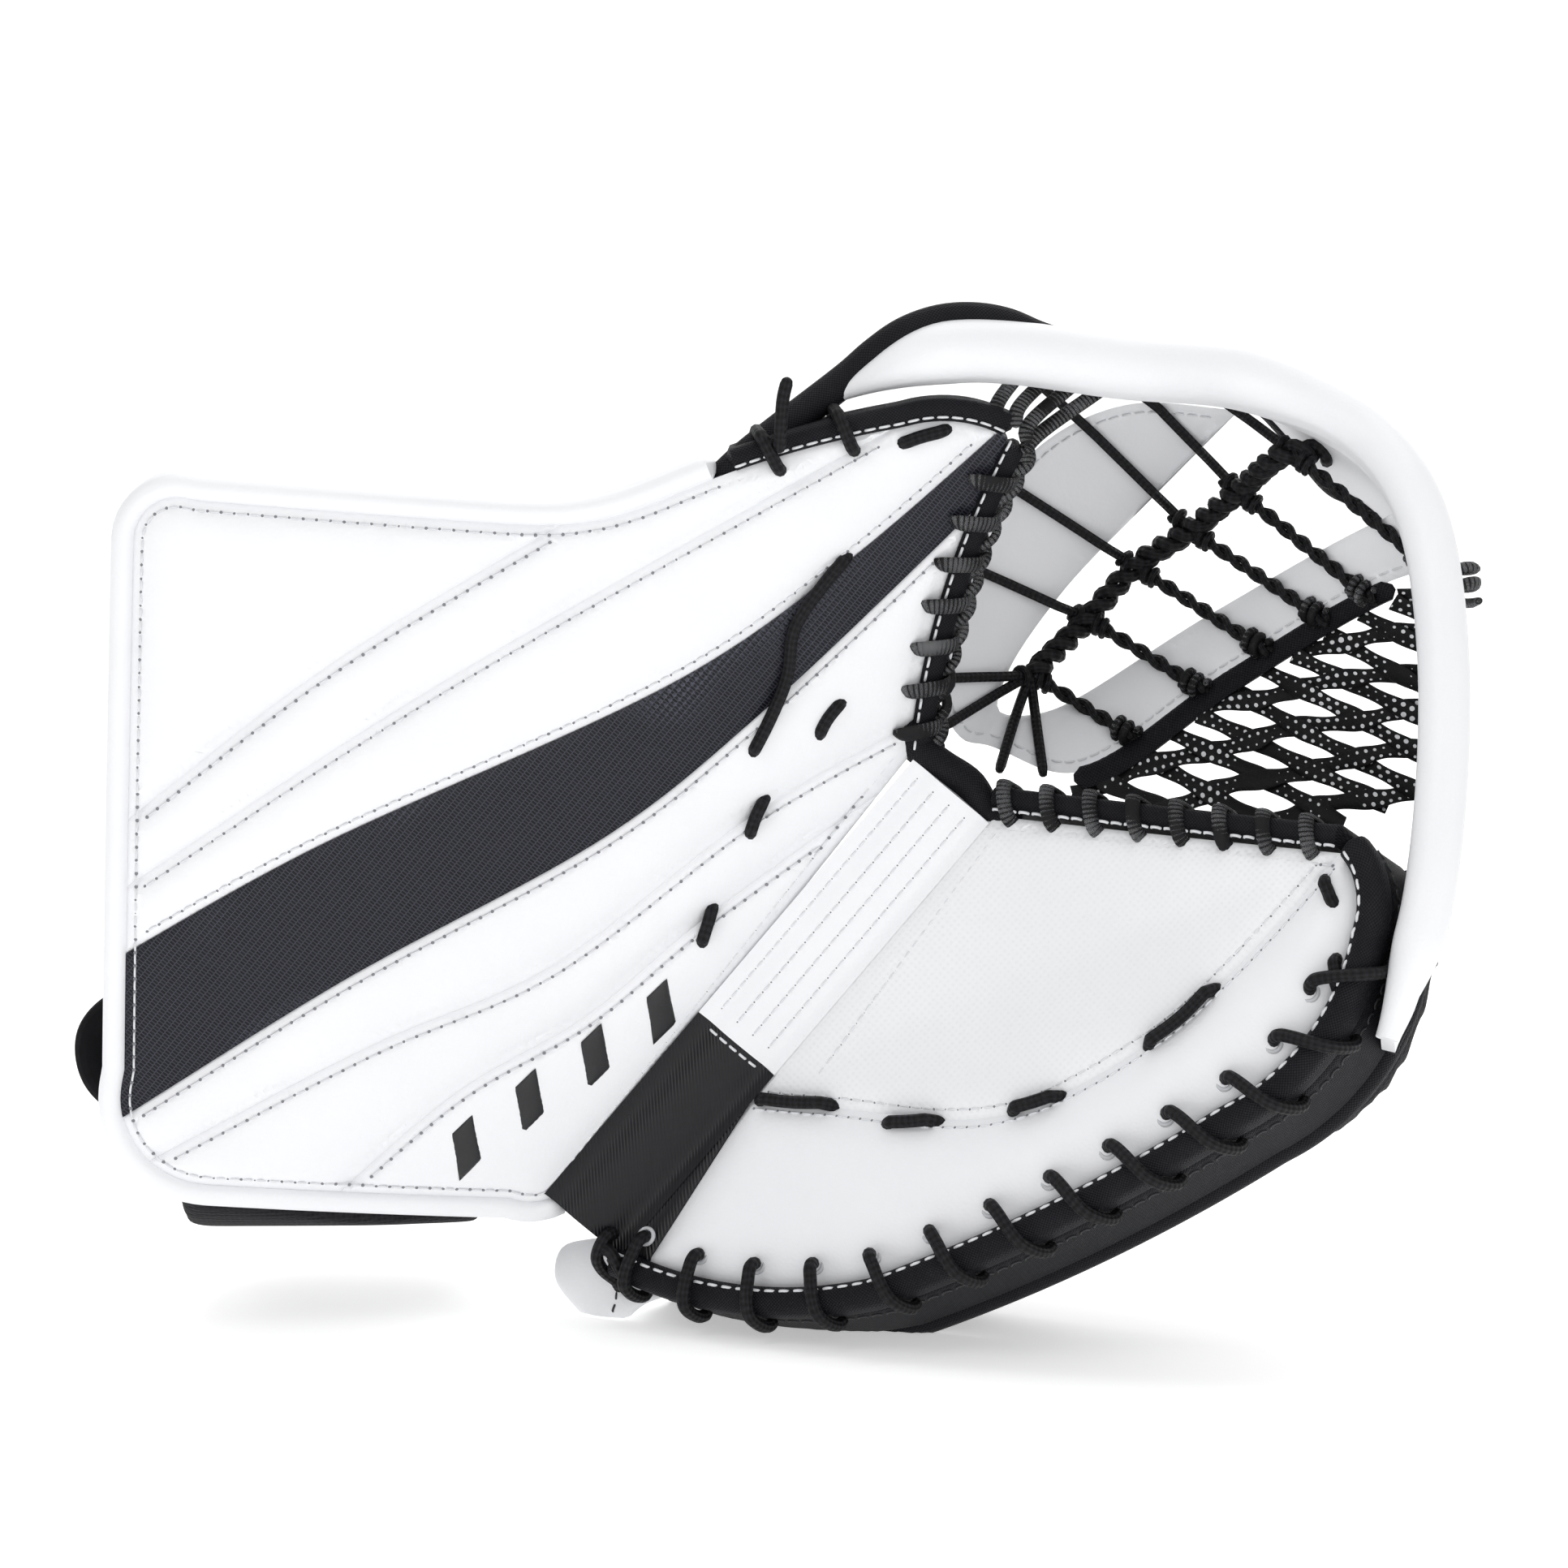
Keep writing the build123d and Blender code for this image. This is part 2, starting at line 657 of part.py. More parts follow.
with BuildPart() as back_strap_tab:
    back_strap_piece(
        BACK_WEB_END, BACK_WEB_END + 14, BACK_WEB_WIDTH - 8, PAD_BACK - CLEAR, PAD_BACK - CLEAR - WEB
    )
keep(back_strap_tab, "back_strap_tab")

# ---- Pocket on the finger side ---------------------------------------------------------------------
FINGER_POCKET_RIM = [(358, 20), (353, 56), (322, 100), (262, 152), (222, 172)]
POCKET_RIM_HEIGHT = -8.0

with BuildPart() as pocket_rim_finger:
    finger_rim_line = roll(
        [finger_place(u, s, POCKET_RIM_HEIGHT) for u, s in FINGER_POCKET_RIM], POCKET_ROLL
    )
keep(pocket_rim_finger, "pocket_rim_finger")


def finger_pocket_wall(front, back, thickness):
    """The pocket's wall on the finger side, between two heights over the finger board."""
    with BuildSketch(PALM.offset(back)) as wall:
        with BuildLine():
            Spline(*on_finger(*FINGER_POCKET_RIM))
        trace(line_width=thickness)
    extrude(wall.sketch, amount=front - back)


with BuildPart() as pocket_wall_finger:
    finger_pocket_wall(-RIM_TO_WALL, -RIM_TO_WALL - FINGER_WALL_DEPTH, POCKET_WALL)
    without(pocket_rim_finger)
keep(pocket_wall_finger, "pocket_wall_finger")

with BuildPart() as pocket_binding_finger:
    finger_wall_end = -RIM_TO_WALL - FINGER_WALL_DEPTH
    finger_pocket_wall(finger_wall_end, finger_wall_end - BINDING, POCKET_WALL + 3)
keep(pocket_binding_finger, "pocket_binding_finger")

with BuildPart() as pocket_rim_corner:
    corner_start = thumb_rim_line @ 1 + (thumb_rim_line % 1) * CLEAR
    roll(
        [corner_start, finger_rim_line @ 0],
        POCKET_ROLL,
        tangents=(thumb_rim_line % 1, finger_rim_line % 0),
    )
keep(pocket_rim_corner, "pocket_rim_corner")

# ---- Pocket strap, net and strings -------------------------------------------------------------------
POCKET_START = 190.0
POCKET_END = 352.0
BELLY_EDGE = 6.0
THUMB_SLOPE = 24.0
POCKET_THUMB = Plane(
    origin=BREAK_PLACE,
    x_dir=ALONG,
    z_dir=ACROSS * cos(radians(THUMB_SLOPE)) + FORWARD * sin(radians(THUMB_SLOPE)),
)
POCKET_FINGER = Plane(origin=BREAK_PLACE, x_dir=ALONG, z_dir=ACROSS * TILT_COS - FORWARD * TILT_SIN)


def belly(u):
    """Depth of the pocket along the break."""
    share = (u - POCKET_START) / (POCKET_END - POCKET_START)
    return BELLY_EDGE + (POCKET_BELLY - BELLY_EDGE) * 4 * share * (1 - share)


def belly_layer(plane, thickness, reach):
    """Keeps what lies in the pocket's bellied sheet on one side of the break."""
    stations = [POCKET_START + (POCKET_END - POCKET_START) * step / 6 for step in range(-1, 8)]
    with BuildSketch(plane) as layer:
        with BuildLine():
            front = Spline(*[(u * LENGTH, belly(u) - thickness / 2) for u in stations])
            back = Spline(*[(u * LENGTH, belly(u) + thickness / 2) for u in stations])
            Line(front @ 0, back @ 0)
            Line(front @ 1, back @ 1)
        make_face()
    extrude(layer.sketch, amount=reach, mode=Mode.INTERSECT)


def pocket_prism(outline):
    """A straight block behind an outline, to be cut to the pocket's sheet."""
    with BuildSketch(FACE.offset(-DEEP)) as face:
        with BuildLine():
            Polyline(*outline, close=True)
        make_face()
    extrude(face.sketch, amount=2 * DEEP)


def behind_fingers(*points):
    """Pocket outline points on the finger side, by their distance from the break seen from the front."""
    return [(u * LENGTH, -w * FINGER) for u, w in points]


with BuildPart() as pocket_strap_thumb:
    pocket_prism(
        on_thumb(
            (198, 3), (206, 22), (245, 42), (285, 46), (314, 34), (336, 6), (287, 6), (251, 8), (212, 3)
        )
    )
    belly_layer(POCKET_THUMB, STRAP, 90 * CUFF)
    without(pocket_wall_thumb, pocket_rim_thumb, pocket_binding_thumb)
keep(pocket_strap_thumb, "pocket_strap_thumb")

FINGER_STRAP_TOP = [(202, 2), (212, 2), (222, 12), (281, 33), (334, 46)]
FINGER_STRAP_EDGE = [(324, 62), (268, 48), (214, 29)]
with BuildPart() as pocket_strap_finger:
    pocket_prism(behind_fingers(*FINGER_STRAP_TOP, *FINGER_STRAP_EDGE))
    belly_layer(POCKET_FINGER, STRAP, -140 * FINGER)
    without(palm_edge_binding, pocket_wall_finger, pocket_rim_finger, finger_core, finger_lining)
keep(pocket_strap_finger, "pocket_strap_finger")

with BuildPart() as pocket_strap_binding:
    pocket_prism(behind_fingers(*FINGER_STRAP_EDGE, (217, 35), (269, 54), (321, 68)))
    belly_layer(POCKET_FINGER, STRAP, -140 * FINGER)
keep(pocket_strap_binding, "pocket_strap_binding")

NET_OUTLINE = [(217, 35), (269, 54), (321, 68), (312, 88), (285, 106), (264, 98), (230, 52)]
with BuildPart() as flat_lace_net:
    pocket_prism(behind_fingers(*NET_OUTLINE))
    with BuildSketch(FACE.offset(-DEEP)):
        with BuildLine(mode=Mode.PRIVATE) as net_line:
            Polyline(*behind_fingers(*NET_OUTLINE), close=True)
        with BuildSketch(mode=Mode.PRIVATE) as inner_net:
            add(make_face(net_line.edges(), mode=Mode.PRIVATE))
            offset(amount=-4)
        with Locations(*behind_fingers((268, 76))):
            with GridLocations(NET_PITCH, NET_PITCH, 7, 5):
                Rectangle(NET_HOLE, NET_HOLE, rotation=45)
        add(inner_net.sketch, mode=Mode.INTERSECT)
    extrude(amount=2 * DEEP, mode=Mode.SUBTRACT)
    belly_layer(POCKET_FINGER, NET, -140 * FINGER)
keep(flat_lace_net, "flat_lace_net")

RUNGS = [232, 252, 272, 292, 312]
BRAID_LIFT = 12.0  # the braid runs this far in front of the straps


def braid_place(u):
    """A place on the braid, over the break."""
    return thumb_place(u, 0, 0) + FORWARD * (BRAID_LIFT - belly(u))


with BuildPart() as pocket_strings:
    roll([braid_place(u) for u in (216, 240, 270, 300, 330)], BRAID)
    for u in RUNGS:
        knot = braid_place(u)
        thumb_end = thumb_place(u - 14, 16, 0) + FORWARD * (16 - belly(u - 14))
        finger_end = thumb_place(u + 14, 0, 0) - ACROSS * 26 * FINGER + FORWARD * (26 - belly(u + 14))
        for end in (thumb_end, finger_end):
            with BuildSketch(Plane(origin=knot, z_dir=end - knot)):
                Circle(STRING)
            extrude(amount=(end - knot).length)
keep(pocket_strings, "pocket_strings")
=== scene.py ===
"""Looks of the goalie catch glove: quilted leather, nylon bindings, laces, the strung pocket and the
padded back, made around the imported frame.

Most sizes are millimetres in one of the glove's own measures, and become metres in the place functions:
along the break line, across it over the thumb half, out over the finger half, and proud of the cover."""

import json
import math

import bmesh
import bpy
import numpy as np
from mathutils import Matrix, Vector, geometry


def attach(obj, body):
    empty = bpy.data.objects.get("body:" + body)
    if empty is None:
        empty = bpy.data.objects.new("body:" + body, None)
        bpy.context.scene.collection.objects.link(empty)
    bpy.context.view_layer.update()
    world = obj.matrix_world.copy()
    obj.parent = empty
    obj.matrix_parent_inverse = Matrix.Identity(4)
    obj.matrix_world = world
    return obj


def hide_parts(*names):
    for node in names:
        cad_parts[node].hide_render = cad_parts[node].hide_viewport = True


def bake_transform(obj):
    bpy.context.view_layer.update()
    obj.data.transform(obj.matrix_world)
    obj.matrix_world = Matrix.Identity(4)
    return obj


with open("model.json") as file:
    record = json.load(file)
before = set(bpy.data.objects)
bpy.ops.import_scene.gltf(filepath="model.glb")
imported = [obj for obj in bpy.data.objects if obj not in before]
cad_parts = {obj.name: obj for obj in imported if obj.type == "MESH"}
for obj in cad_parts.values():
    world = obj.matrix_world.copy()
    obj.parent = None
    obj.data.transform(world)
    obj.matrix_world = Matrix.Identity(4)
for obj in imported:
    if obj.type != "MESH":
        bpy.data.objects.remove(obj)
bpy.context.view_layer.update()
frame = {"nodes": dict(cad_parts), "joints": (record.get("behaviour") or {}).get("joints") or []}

# ---- The glove's own measures ---------------------------------------------------------------------
MM = 0.001
fold = next(joint for joint in frame["joints"] if joint["name"] == "break_fold")
BREAK = np.array(fold["pos_m"])
ALONG = np.array(fold["axis"])
ACROSS = np.array([-ALONG[2], 0.0, ALONG[0]])
FORWARD = np.array([0.0, -1.0, 0.0])
TILT = math.radians(37)  # the finger board turns forward of the break
FINGER_UP = FORWARD * math.cos(TILT) + ACROSS * math.sin(TILT)
OUT = FORWARD * math.sin(TILT) - ACROSS * math.cos(TILT)

COVER = 3.0
STACK = 21.5  # cover, foam, board and lining
EDGE = 7.0  # width of the bound edge
LACE_RADIUS = 0.0021
POCKET_ROLL = 10.0
TAPER = 2.0  # a strip's ends draw in over this length


def circle_through(first, middle, last):
    """Centre and radius of the circle through three points, and the way round: above 0 is leftward."""
    (x1, y1), (x2, y2), (x3, y3) = first, middle, last
    turn = 2 * (x1 * (y2 - y3) + x2 * (y3 - y1) + x3 * (y1 - y2))
    q1, q2, q3 = x1**2 + y1**2, x2**2 + y2**2, x3**2 + y3**2
    cx = (q1 * (y2 - y3) + q2 * (y3 - y1) + q3 * (y1 - y2)) / turn
    cy = (q1 * (x3 - x2) + q2 * (x1 - x3) + q3 * (x2 - x1)) / turn
    radius = math.hypot(x1 - cx, y1 - cy)
    return cx, cy, radius, turn


def circle_face(first, middle, last):
    """Height of the arc through three points, as a function of the distance across."""
    cx, cy, radius, _ = circle_through(first, middle, last)
    side = 1 if middle[1] > cy else -1
    return lambda x: cy + side * np.sqrt(np.maximum(radius**2 - (x - cx) ** 2, 0))


thumb_face = circle_face((12, 6), (128, 48), (272, 60))
finger_face = circle_face((14, -1), (92, -4), (200, 1))


def columns(points):
    return np.asarray(points, float).reshape(-1, 3).T


def thumb_place(points):
    """(along, across, proud of the cover) on the thumb half."""
    u, v, h = columns(points)
    return BREAK + MM * (np.outer(u, ALONG) + np.outer(v, ACROSS) + np.outer(thumb_face(v) + h, FORWARD))


def finger_place(points):
    """(along, out, proud of the cover) on the finger half."""
    u, s, h = columns(points)
    return BREAK + MM * (np.outer(u, ALONG) + np.outer(s, OUT) + np.outer(finger_face(s) + h, FINGER_UP))


def finger_flat(points):
    """(along, out, up) by the finger board's own plane, kept above the floor."""
    u, s, h = columns(points)
    place = BREAK + MM * (np.outer(u, ALONG) + np.outer(s, OUT) + np.outer(h, FINGER_UP))
    place[:, 2] = np.maximum(place[:, 2], 0.0)
    return place


def open_place(points):
    """(along, across, forward) of the break line."""
    u, v, f = columns(points)
    return BREAK + MM * (np.outer(u, ALONG) + np.outer(v, ACROSS) + np.outer(f, FORWARD))


def smooth_step(x):
    x = np.clip(x, 0, 1)
    return x * x * (3 - 2 * x)


POCKET_START, POCKET_END = 190.0, 352.0
THUMB_SLOPE = math.radians(24)


def belly(u):
    share = (u - POCKET_START) / (POCKET_END - POCKET_START)
    return 6 + 52 * 4 * share * (1 - share)


def pocket_place(points):
    """(along, across, forward of the sheet) on the pocket's bellied sheet; fingers are at minus across."""
    u, v, h = columns(points)
    thumb_side = math.tan(THUMB_SLOPE) * v - belly(u) / math.cos(THUMB_SLOPE)
    finger_side = -math.tan(TILT) * v - belly(u) / math.cos(TILT)
    share = smooth_step((v + 8) / 16)
    return open_place(np.column_stack([u, v, thumb_side * share + finger_side * (1 - share) + h]))


# ---- Lines ------------------------------------------------------------------------------------------
def run_along(line):
    """Length along a line up to each of its points."""
    return np.concatenate([[0], np.cumsum(np.linalg.norm(np.diff(line, axis=0), axis=1))])


def resample(line, step):
    """The same line with points about a step apart."""
    line = np.asarray(line, float)
    run = run_along(line)
    count = max(2, int(round(run[-1] / step)) + 1)
    even = np.linspace(0, run[-1], count)
    return np.column_stack([np.interp(even, run, line[:, k]) for k in range(line.shape[1])])


def smooth_line(points, step):
    """A smooth line through the points, by Catmull and Rom's rule."""
    points = np.asarray(points, float)
    ends = np.vstack([2 * points[0] - points[1], points, 2 * points[-1] - points[-2]])
    knots = np.concatenate([[0], np.cumsum(np.linalg.norm(np.diff(ends, axis=0), axis=1) ** 0.5)])
    line = []
    for k in range(1, len(ends) - 2):
        t0, t1, t2, t3 = knots[k - 1 : k + 3]
        t = np.linspace(t1, t2, 24, endpoint=False)[:, None]
        a1 = ends[k - 1] * (t1 - t) / (t1 - t0) + ends[k] * (t - t0) / (t1 - t0)
        a2 = ends[k] * (t2 - t) / (t2 - t1) + ends[k + 1] * (t - t1) / (t2 - t1)
        a3 = ends[k + 1] * (t3 - t) / (t3 - t2) + ends[k + 2] * (t - t2) / (t3 - t2)
        b1 = a1 * (t2 - t) / (t2 - t0) + a2 * (t - t0) / (t2 - t0)
        b2 = a2 * (t3 - t) / (t3 - t1) + a3 * (t - t1) / (t3 - t1)
        line.append(b1 * (t2 - t) / (t2 - t1) + b2 * (t - t1) / (t2 - t1))
    return resample(np.vstack(line + [points[-1:]]), step)


def arc(first, middle, last, step=3.0):
    """Points of the flat arc through three points."""
    cx, cy, radius, turn = circle_through(first, middle, last)
    angles = [math.atan2(y - cy, x - cx) for x, y in (first, middle, last)]
    way = 1 if turn > 0 else -1
    sweep = (way * (angles[2] - angles[0])) % (2 * math.pi)
    count = max(3, int(radius * sweep / step) + 1)
    around = angles[0] + way * np.linspace(0, sweep, count)
    return np.column_stack([cx + radius * np.cos(around), cy + radius * np.sin(around)])


def join(*stretches):
    """Stretches end to end as one line, with no point twice."""
    line = np.vstack([np.asarray(s, float) for s in stretches])
    keep = np.concatenate([[True], np.linalg.norm(np.diff(line, axis=0), axis=1) > 1e-3])
    return line[keep]


def normals(line):
    """Unit normals to the right of the way along a flat line."""
    way = np.gradient(line, axis=0)
    way /= np.linalg.norm(way, axis=1)[:, None]
    return np.column_stack([way[:, 1], -way[:, 0]])


def beside(line, offset):
    return line + normals(line) * offset


def lifted(line, height):
    """A flat line at a height."""
    return np.column_stack([line, np.broadcast_to(height, len(line))])


# Outline of the cuff and thumb: along the break edge, up the thumb's edge, over its top and round the cuff
THUMB_EDGE = arc((186, 18), (232, 44), (284, 61))
THUMB_TOP = join(arc((284, 61), (278, 77), (266, 89)), arc((266, 89), (227, 118), (182, 141)))
CUFF_EDGE = join(
    resample([(182, 141), (110, 243)], 3),
    arc((110, 243), (101, 252), (88, 249)),
    resample([(88, 249), (-44, 146)], 3),
    arc((-44, 146), (-62, 124), (-57, 102)),
    resample([(-57, 102), (-5, 24)], 3),
    arc((-5, 24), (0, 15), (6, 12)),
)
THUMB_BREAK = resample([(6, 12), (186, 18)], 3)


def eased(line, corner, reach):
    """A line with its bend near one corner drawn out into a sweep."""
    line = resample(line, 3)
    near = np.maximum(0, 1 - np.linalg.norm(line - corner, axis=1) / reach)[1:-1, None]
    for _ in range(60):
        line[1:-1] += near * 0.5 * (0.5 * (line[:-2] + line[2:]) - line[1:-1])
    return line


OUTER_EDGE = eased(join(THUMB_TOP, CUFF_EDGE), (182, 141), 52)
BOUND = np.arange(len(OUTER_EDGE)) < np.argmax(OUTER_EDGE[:, 0] < 223) + 1
WHITE_EDGE, THUMB_TOP = OUTER_EDGE[~BOUND], OUTER_EDGE[BOUND]
THUMB_OUTLINE = join(THUMB_BREAK, THUMB_EDGE, OUTER_EDGE)[:-1]

# Outline of the fingers: round the rim from the heel, down the palm's top edge, and back along the break
FINGER_RIM = join(
    arc((4, 14), (22, 54), (56, 92)),
    arc((56, 92), (110, 121), (172, 146)),
    arc((172, 146), (208, 152), (238, 141)),
    arc((238, 141), (250, 131), (254, 118)),
)
PALM_TOP = resample([(254, 118), (187, 14)], 3)
FINGER_BREAK = resample([(187, 14), (4, 14)], 3)
FINGER_OUTLINE = join(FINGER_RIM, PALM_TOP, FINGER_BREAK)[:-1]


# ---- Mesh work --------------------------------------------------------------------------------------
def new_piece(name, points, faces, uvs, crease=40):
    """A piece from its points and faces, with a texture place for each corner of each face."""
    mesh = bpy.data.meshes.new(name)
    mesh.from_pydata(np.asarray(points).tolist(), [], faces)
    layer = mesh.uv_layers.new(name="UVMap")
    layer.data.foreach_set("uv", np.asarray(uvs, np.float32).ravel())
    mesh.update()
    shaped = bmesh.new()
    shaped.from_mesh(mesh)
    bmesh.ops.recalc_face_normals(shaped, faces=shaped.faces)
    shaped.to_mesh(mesh)
    shaped.free()
    mesh.polygons.foreach_set("use_smooth", np.ones(len(mesh.polygons), bool))
    mesh.set_sharp_from_angle(angle=math.radians(crease))
    piece = bpy.data.objects.new(name, mesh)
    bpy.context.scene.collection.objects.link(piece)
    return piece


def distance(points, starts, ends):
    """Least distance from each flat point to any of the straight stretches."""
    least = np.full(len(points), 1e9)
    way = ends - starts
    length = np.maximum((way**2).sum(1), 1e-12)
    for block in range(0, len(points), 2000):
        part = points[block : block + 2000]
        off = part[:, None, :] - starts[None]
        share = np.clip((off * way).sum(2) / length, 0, 1)
        gap = off - share[..., None] * way
        least[block : block + 2000] = np.sqrt((gap**2).sum(2)).min(1)
    return least


def inside(points, outline):
    """Which flat points lie inside a closed outline."""
    x, y = points[:, 0][:, None], points[:, 1][:, None]
    x1, y1 = outline[:, 0], outline[:, 1]
    x2, y2 = np.roll(x1, -1), np.roll(y1, -1)
    crosses = (y1 > y) != (y2 > y)
    level = np.where(y1 == y2, 1.0, y2 - y1)
    return (crosses & (x < x1 + (y - y1) * (x2 - x1) / level)).sum(1) % 2 == 1


def cut_sheet(outline, seams, spacing=4.0, rows=(0.6, 1.5, 2.4, 3.0, 3.6, 5.0)):
    """Triangles that fill an outline and follow its seams, finer beside them."""
    lines = [np.vstack([outline, outline[:1]])] + [resample(seam, 3.0) for seam in seams]
    points, edges = [], []
    for line in lines:
        first = len(points)
        points += [tuple(p) for p in line]
        edges += [(first + k, first + k + 1) for k in range(len(line) - 1)]
    starts = np.vstack([line[:-1] for line in lines])
    ends = np.vstack([line[1:] for line in lines])
    extra = []
    for line in lines:
        for row in rows:
            for side in (-1, 1):
                near = resample(beside(line, row * side), 2.2 + 0.3 * row)
                extra.append(near[distance(near, starts, ends) > 0.93 * row])
    low, high = outline.min(0), outline.max(0)
    grid = []
    for k, y in enumerate(np.arange(low[1], high[1], spacing * 0.87)):
        x = np.arange(low[0] + (k % 2) * spacing / 2, high[0], spacing)
        grid.append(np.column_stack([x, np.full(len(x), y)]))
    grid = np.vstack(grid)
    extra.append(grid[distance(grid, starts, ends) > rows[-1] + 0.5 * spacing])
    extra = np.vstack(extra)
    extra = extra[inside(extra, outline)]
    everything = [Vector(p) for p in points] + [Vector(p) for p in extra]
    flat, _, triangles, *_ = geometry.delaunay_2d_cdt(everything, edges, [], 0, 1e-4)
    flat = np.array([tuple(p) for p in flat])
    triangles = np.array([t for t in triangles if len(t) == 3])
    middle = flat[triangles].mean(1)
    return flat, triangles[inside(middle, outline)]


def puffed(edge, crown, round_over=2.6, groove=0.0):
    """Height of a stuffed cover from its distance to its seam, with a sewn groove beside the seam."""
    return lambda flat, d: edge + (crown - edge) * (1 - np.exp(-d / round_over)) - groove * np.exp(
        -(((d - 3.0) / 0.55) ** 2)
    )


def level(height):
    return lambda flat, d: np.full(len(d), float(height))


def slab(name, sheet, place, top, under, region=None):
    """A closed piece cut from a flat sheet; top and under give its heights."""
    flat, triangles = sheet
    if region is not None:
        triangles = triangles[inside(flat[triangles].mean(1), np.asarray(region, float))]
    used, compact = np.unique(triangles, return_inverse=True)
    triangles = compact.reshape(-1, 3)
    flat = flat[used]
    sides = np.vstack([triangles[:, [0, 1]], triangles[:, [1, 2]], triangles[:, [2, 0]]])
    pairs, counts = np.unique(np.sort(sides, axis=1), axis=0, return_counts=True)
    single = {tuple(p) for p in pairs[counts == 1]}
    border = np.array([s for s in sides if tuple(sorted(s)) in single])
    d = distance(flat, flat[border[:, 0]], flat[border[:, 1]])
    upper = place(np.column_stack([flat, top(flat, d)]))
    lower = place(np.column_stack([flat, under(flat, d)]))
    n = len(flat)
    faces = triangles.tolist() + (triangles[:, ::-1] + n).tolist()
    faces += [(b, a, a + n, b + n) for a, b in border.tolist()]
    corners = np.concatenate([np.ravel(f) for f in faces]) % n
    uvs = flat[corners] * MM
    return new_piece(name, np.vstack([upper, lower]), faces, uvs)


def loft(name, rings, along, around, closed=True, capped=True, crease=60):
    """A skin over rings of points. along and around are the texture's measures of it."""
    rows, count = rings.shape[:2]
    i, j = np.meshgrid(np.arange(rows - 1), np.arange(count if closed else count - 1), indexing="ij")
    i, j = i.ravel(), j.ravel()
    k = (j + 1) % count
    faces = np.column_stack([i * count + j, i * count + k, (i + 1) * count + k, (i + 1) * count + j])
    uvs = np.stack(
        [
            np.column_stack([along[i], around[j]]),
            np.column_stack([along[i], around[j + 1]]),
            np.column_stack([along[i + 1], around[j + 1]]),
            np.column_stack([along[i + 1], around[j]]),
        ],
        axis=1,
    ).reshape(-1, 2)
    points = rings.reshape(-1, 3)
    faces = faces.tolist()
    if capped:
        ends = np.array([rings[0].mean(0), rings[-1].mean(0)])
        points = np.vstack([points, ends])
        last = (rows - 1) * count
        for j in range(count):
            k = (j + 1) % count
            faces.append((k, j, len(points) - 2))
            faces.append((last + j, last + k, len(points) - 1))
        tips = np.column_stack([np.zeros(6), np.zeros(6)])
        uvs = np.vstack([uvs] + [tips] * count)
    return new_piece(name, points, faces, uvs, crease)


def rounded_box(low, high, radius, steps=5):
    """A closed section with rounded corners, from its low and high corners."""
    (x0, y0), (x1, y1) = low, high
    centres = [(x1 - radius, y1 - radius, 0), (x0 + radius, y1 - radius, 1)]
    centres += [(x0 + radius, y0 + radius, 2), (x1 - radius, y0 + radius, 3)]
    section = []
    for x, y, quarter in centres:
        for a in np.linspace(0, 1, steps + 1):
            angle = (quarter + a) * math.pi / 2
            section.append((x + radius * math.cos(angle), y + radius * math.sin(angle)))
    return resample(np.vstack([section, section[:1]]), 1.6)[:-1]


def band(name, path, place, section, side=1):
    """A padded strip along a flat line; its section is (outward, up). Its ends draw in."""
    path = resample(path, 2.5)
    out = normals(path) * side
    run = run_along(path)
    middle = section.mean(0)
    reach = np.minimum(run, run[-1] - run)
    draw = np.sqrt(1 - (1 - np.clip(reach / TAPER, 0.04, 1)) ** 2)
    rings = []
    for p, n, scale in zip(path, out, draw):
        shape = middle + (section - middle) * scale
        rings.append(place(np.column_stack([p + n * shape[:, :1], shape[:, 1]])))
    rings = np.array(rings)
    loop = np.vstack([section, section[:1]])
    around = run_along(loop)
    return loft(name, rings, run * MM, around * MM)


def frames_along(line, hint=None):
    """Tangents and two cross directions along a line in space, turning as little as they can."""
    way = np.gradient(line, axis=0)
    way /= np.linalg.norm(way, axis=1)[:, None] + 1e-12
    side = np.cross(way[0], hint if hint is not None else (0.3, 1.0, 0.2))
    sides = []
    for t in way:
        side = side - t * (side @ t)
        side = side / (np.linalg.norm(side) + 1e-12)
        sides.append(side)
    sides = np.array(sides)
    return way, sides, np.cross(way, sides)


def rings_round(line, radius, sides, flatten=1.0, hint=None):
    """Rings round a line in space. The radius is one number, or one for each point."""
    _, side, up = frames_along(line, hint)
    turn = np.linspace(0, 2 * math.pi, sides, endpoint=False)
    reach = np.broadcast_to(radius, len(line))[:, None, None]
    return line[:, None] + reach * (
        side[:, None] * np.cos(turn)[None, :, None] + flatten * up[:, None] * np.sin(turn)[None, :, None]
    )


def tube_rings(line, radius, sides, flatten=1.0, hint=None):
    """Rings round a line in space, with rounded ends. Metres."""
    run = run_along(line)
    near = radius * np.array([0.0, 0.12, 0.4])
    stops = np.concatenate([near, run[(run > radius) & (run < run[-1] - radius)], run[-1] - near[::-1]])
    line = np.column_stack([np.interp(stops, run, line[:, k]) for k in range(3)])
    reach = np.minimum(stops, stops[-1] - stops)
    scale = np.sqrt(1 - (1 - np.clip(reach / radius, 0.01, 1)) ** 2)
    return rings_round(line, radius * scale, sides, flatten, hint), stops


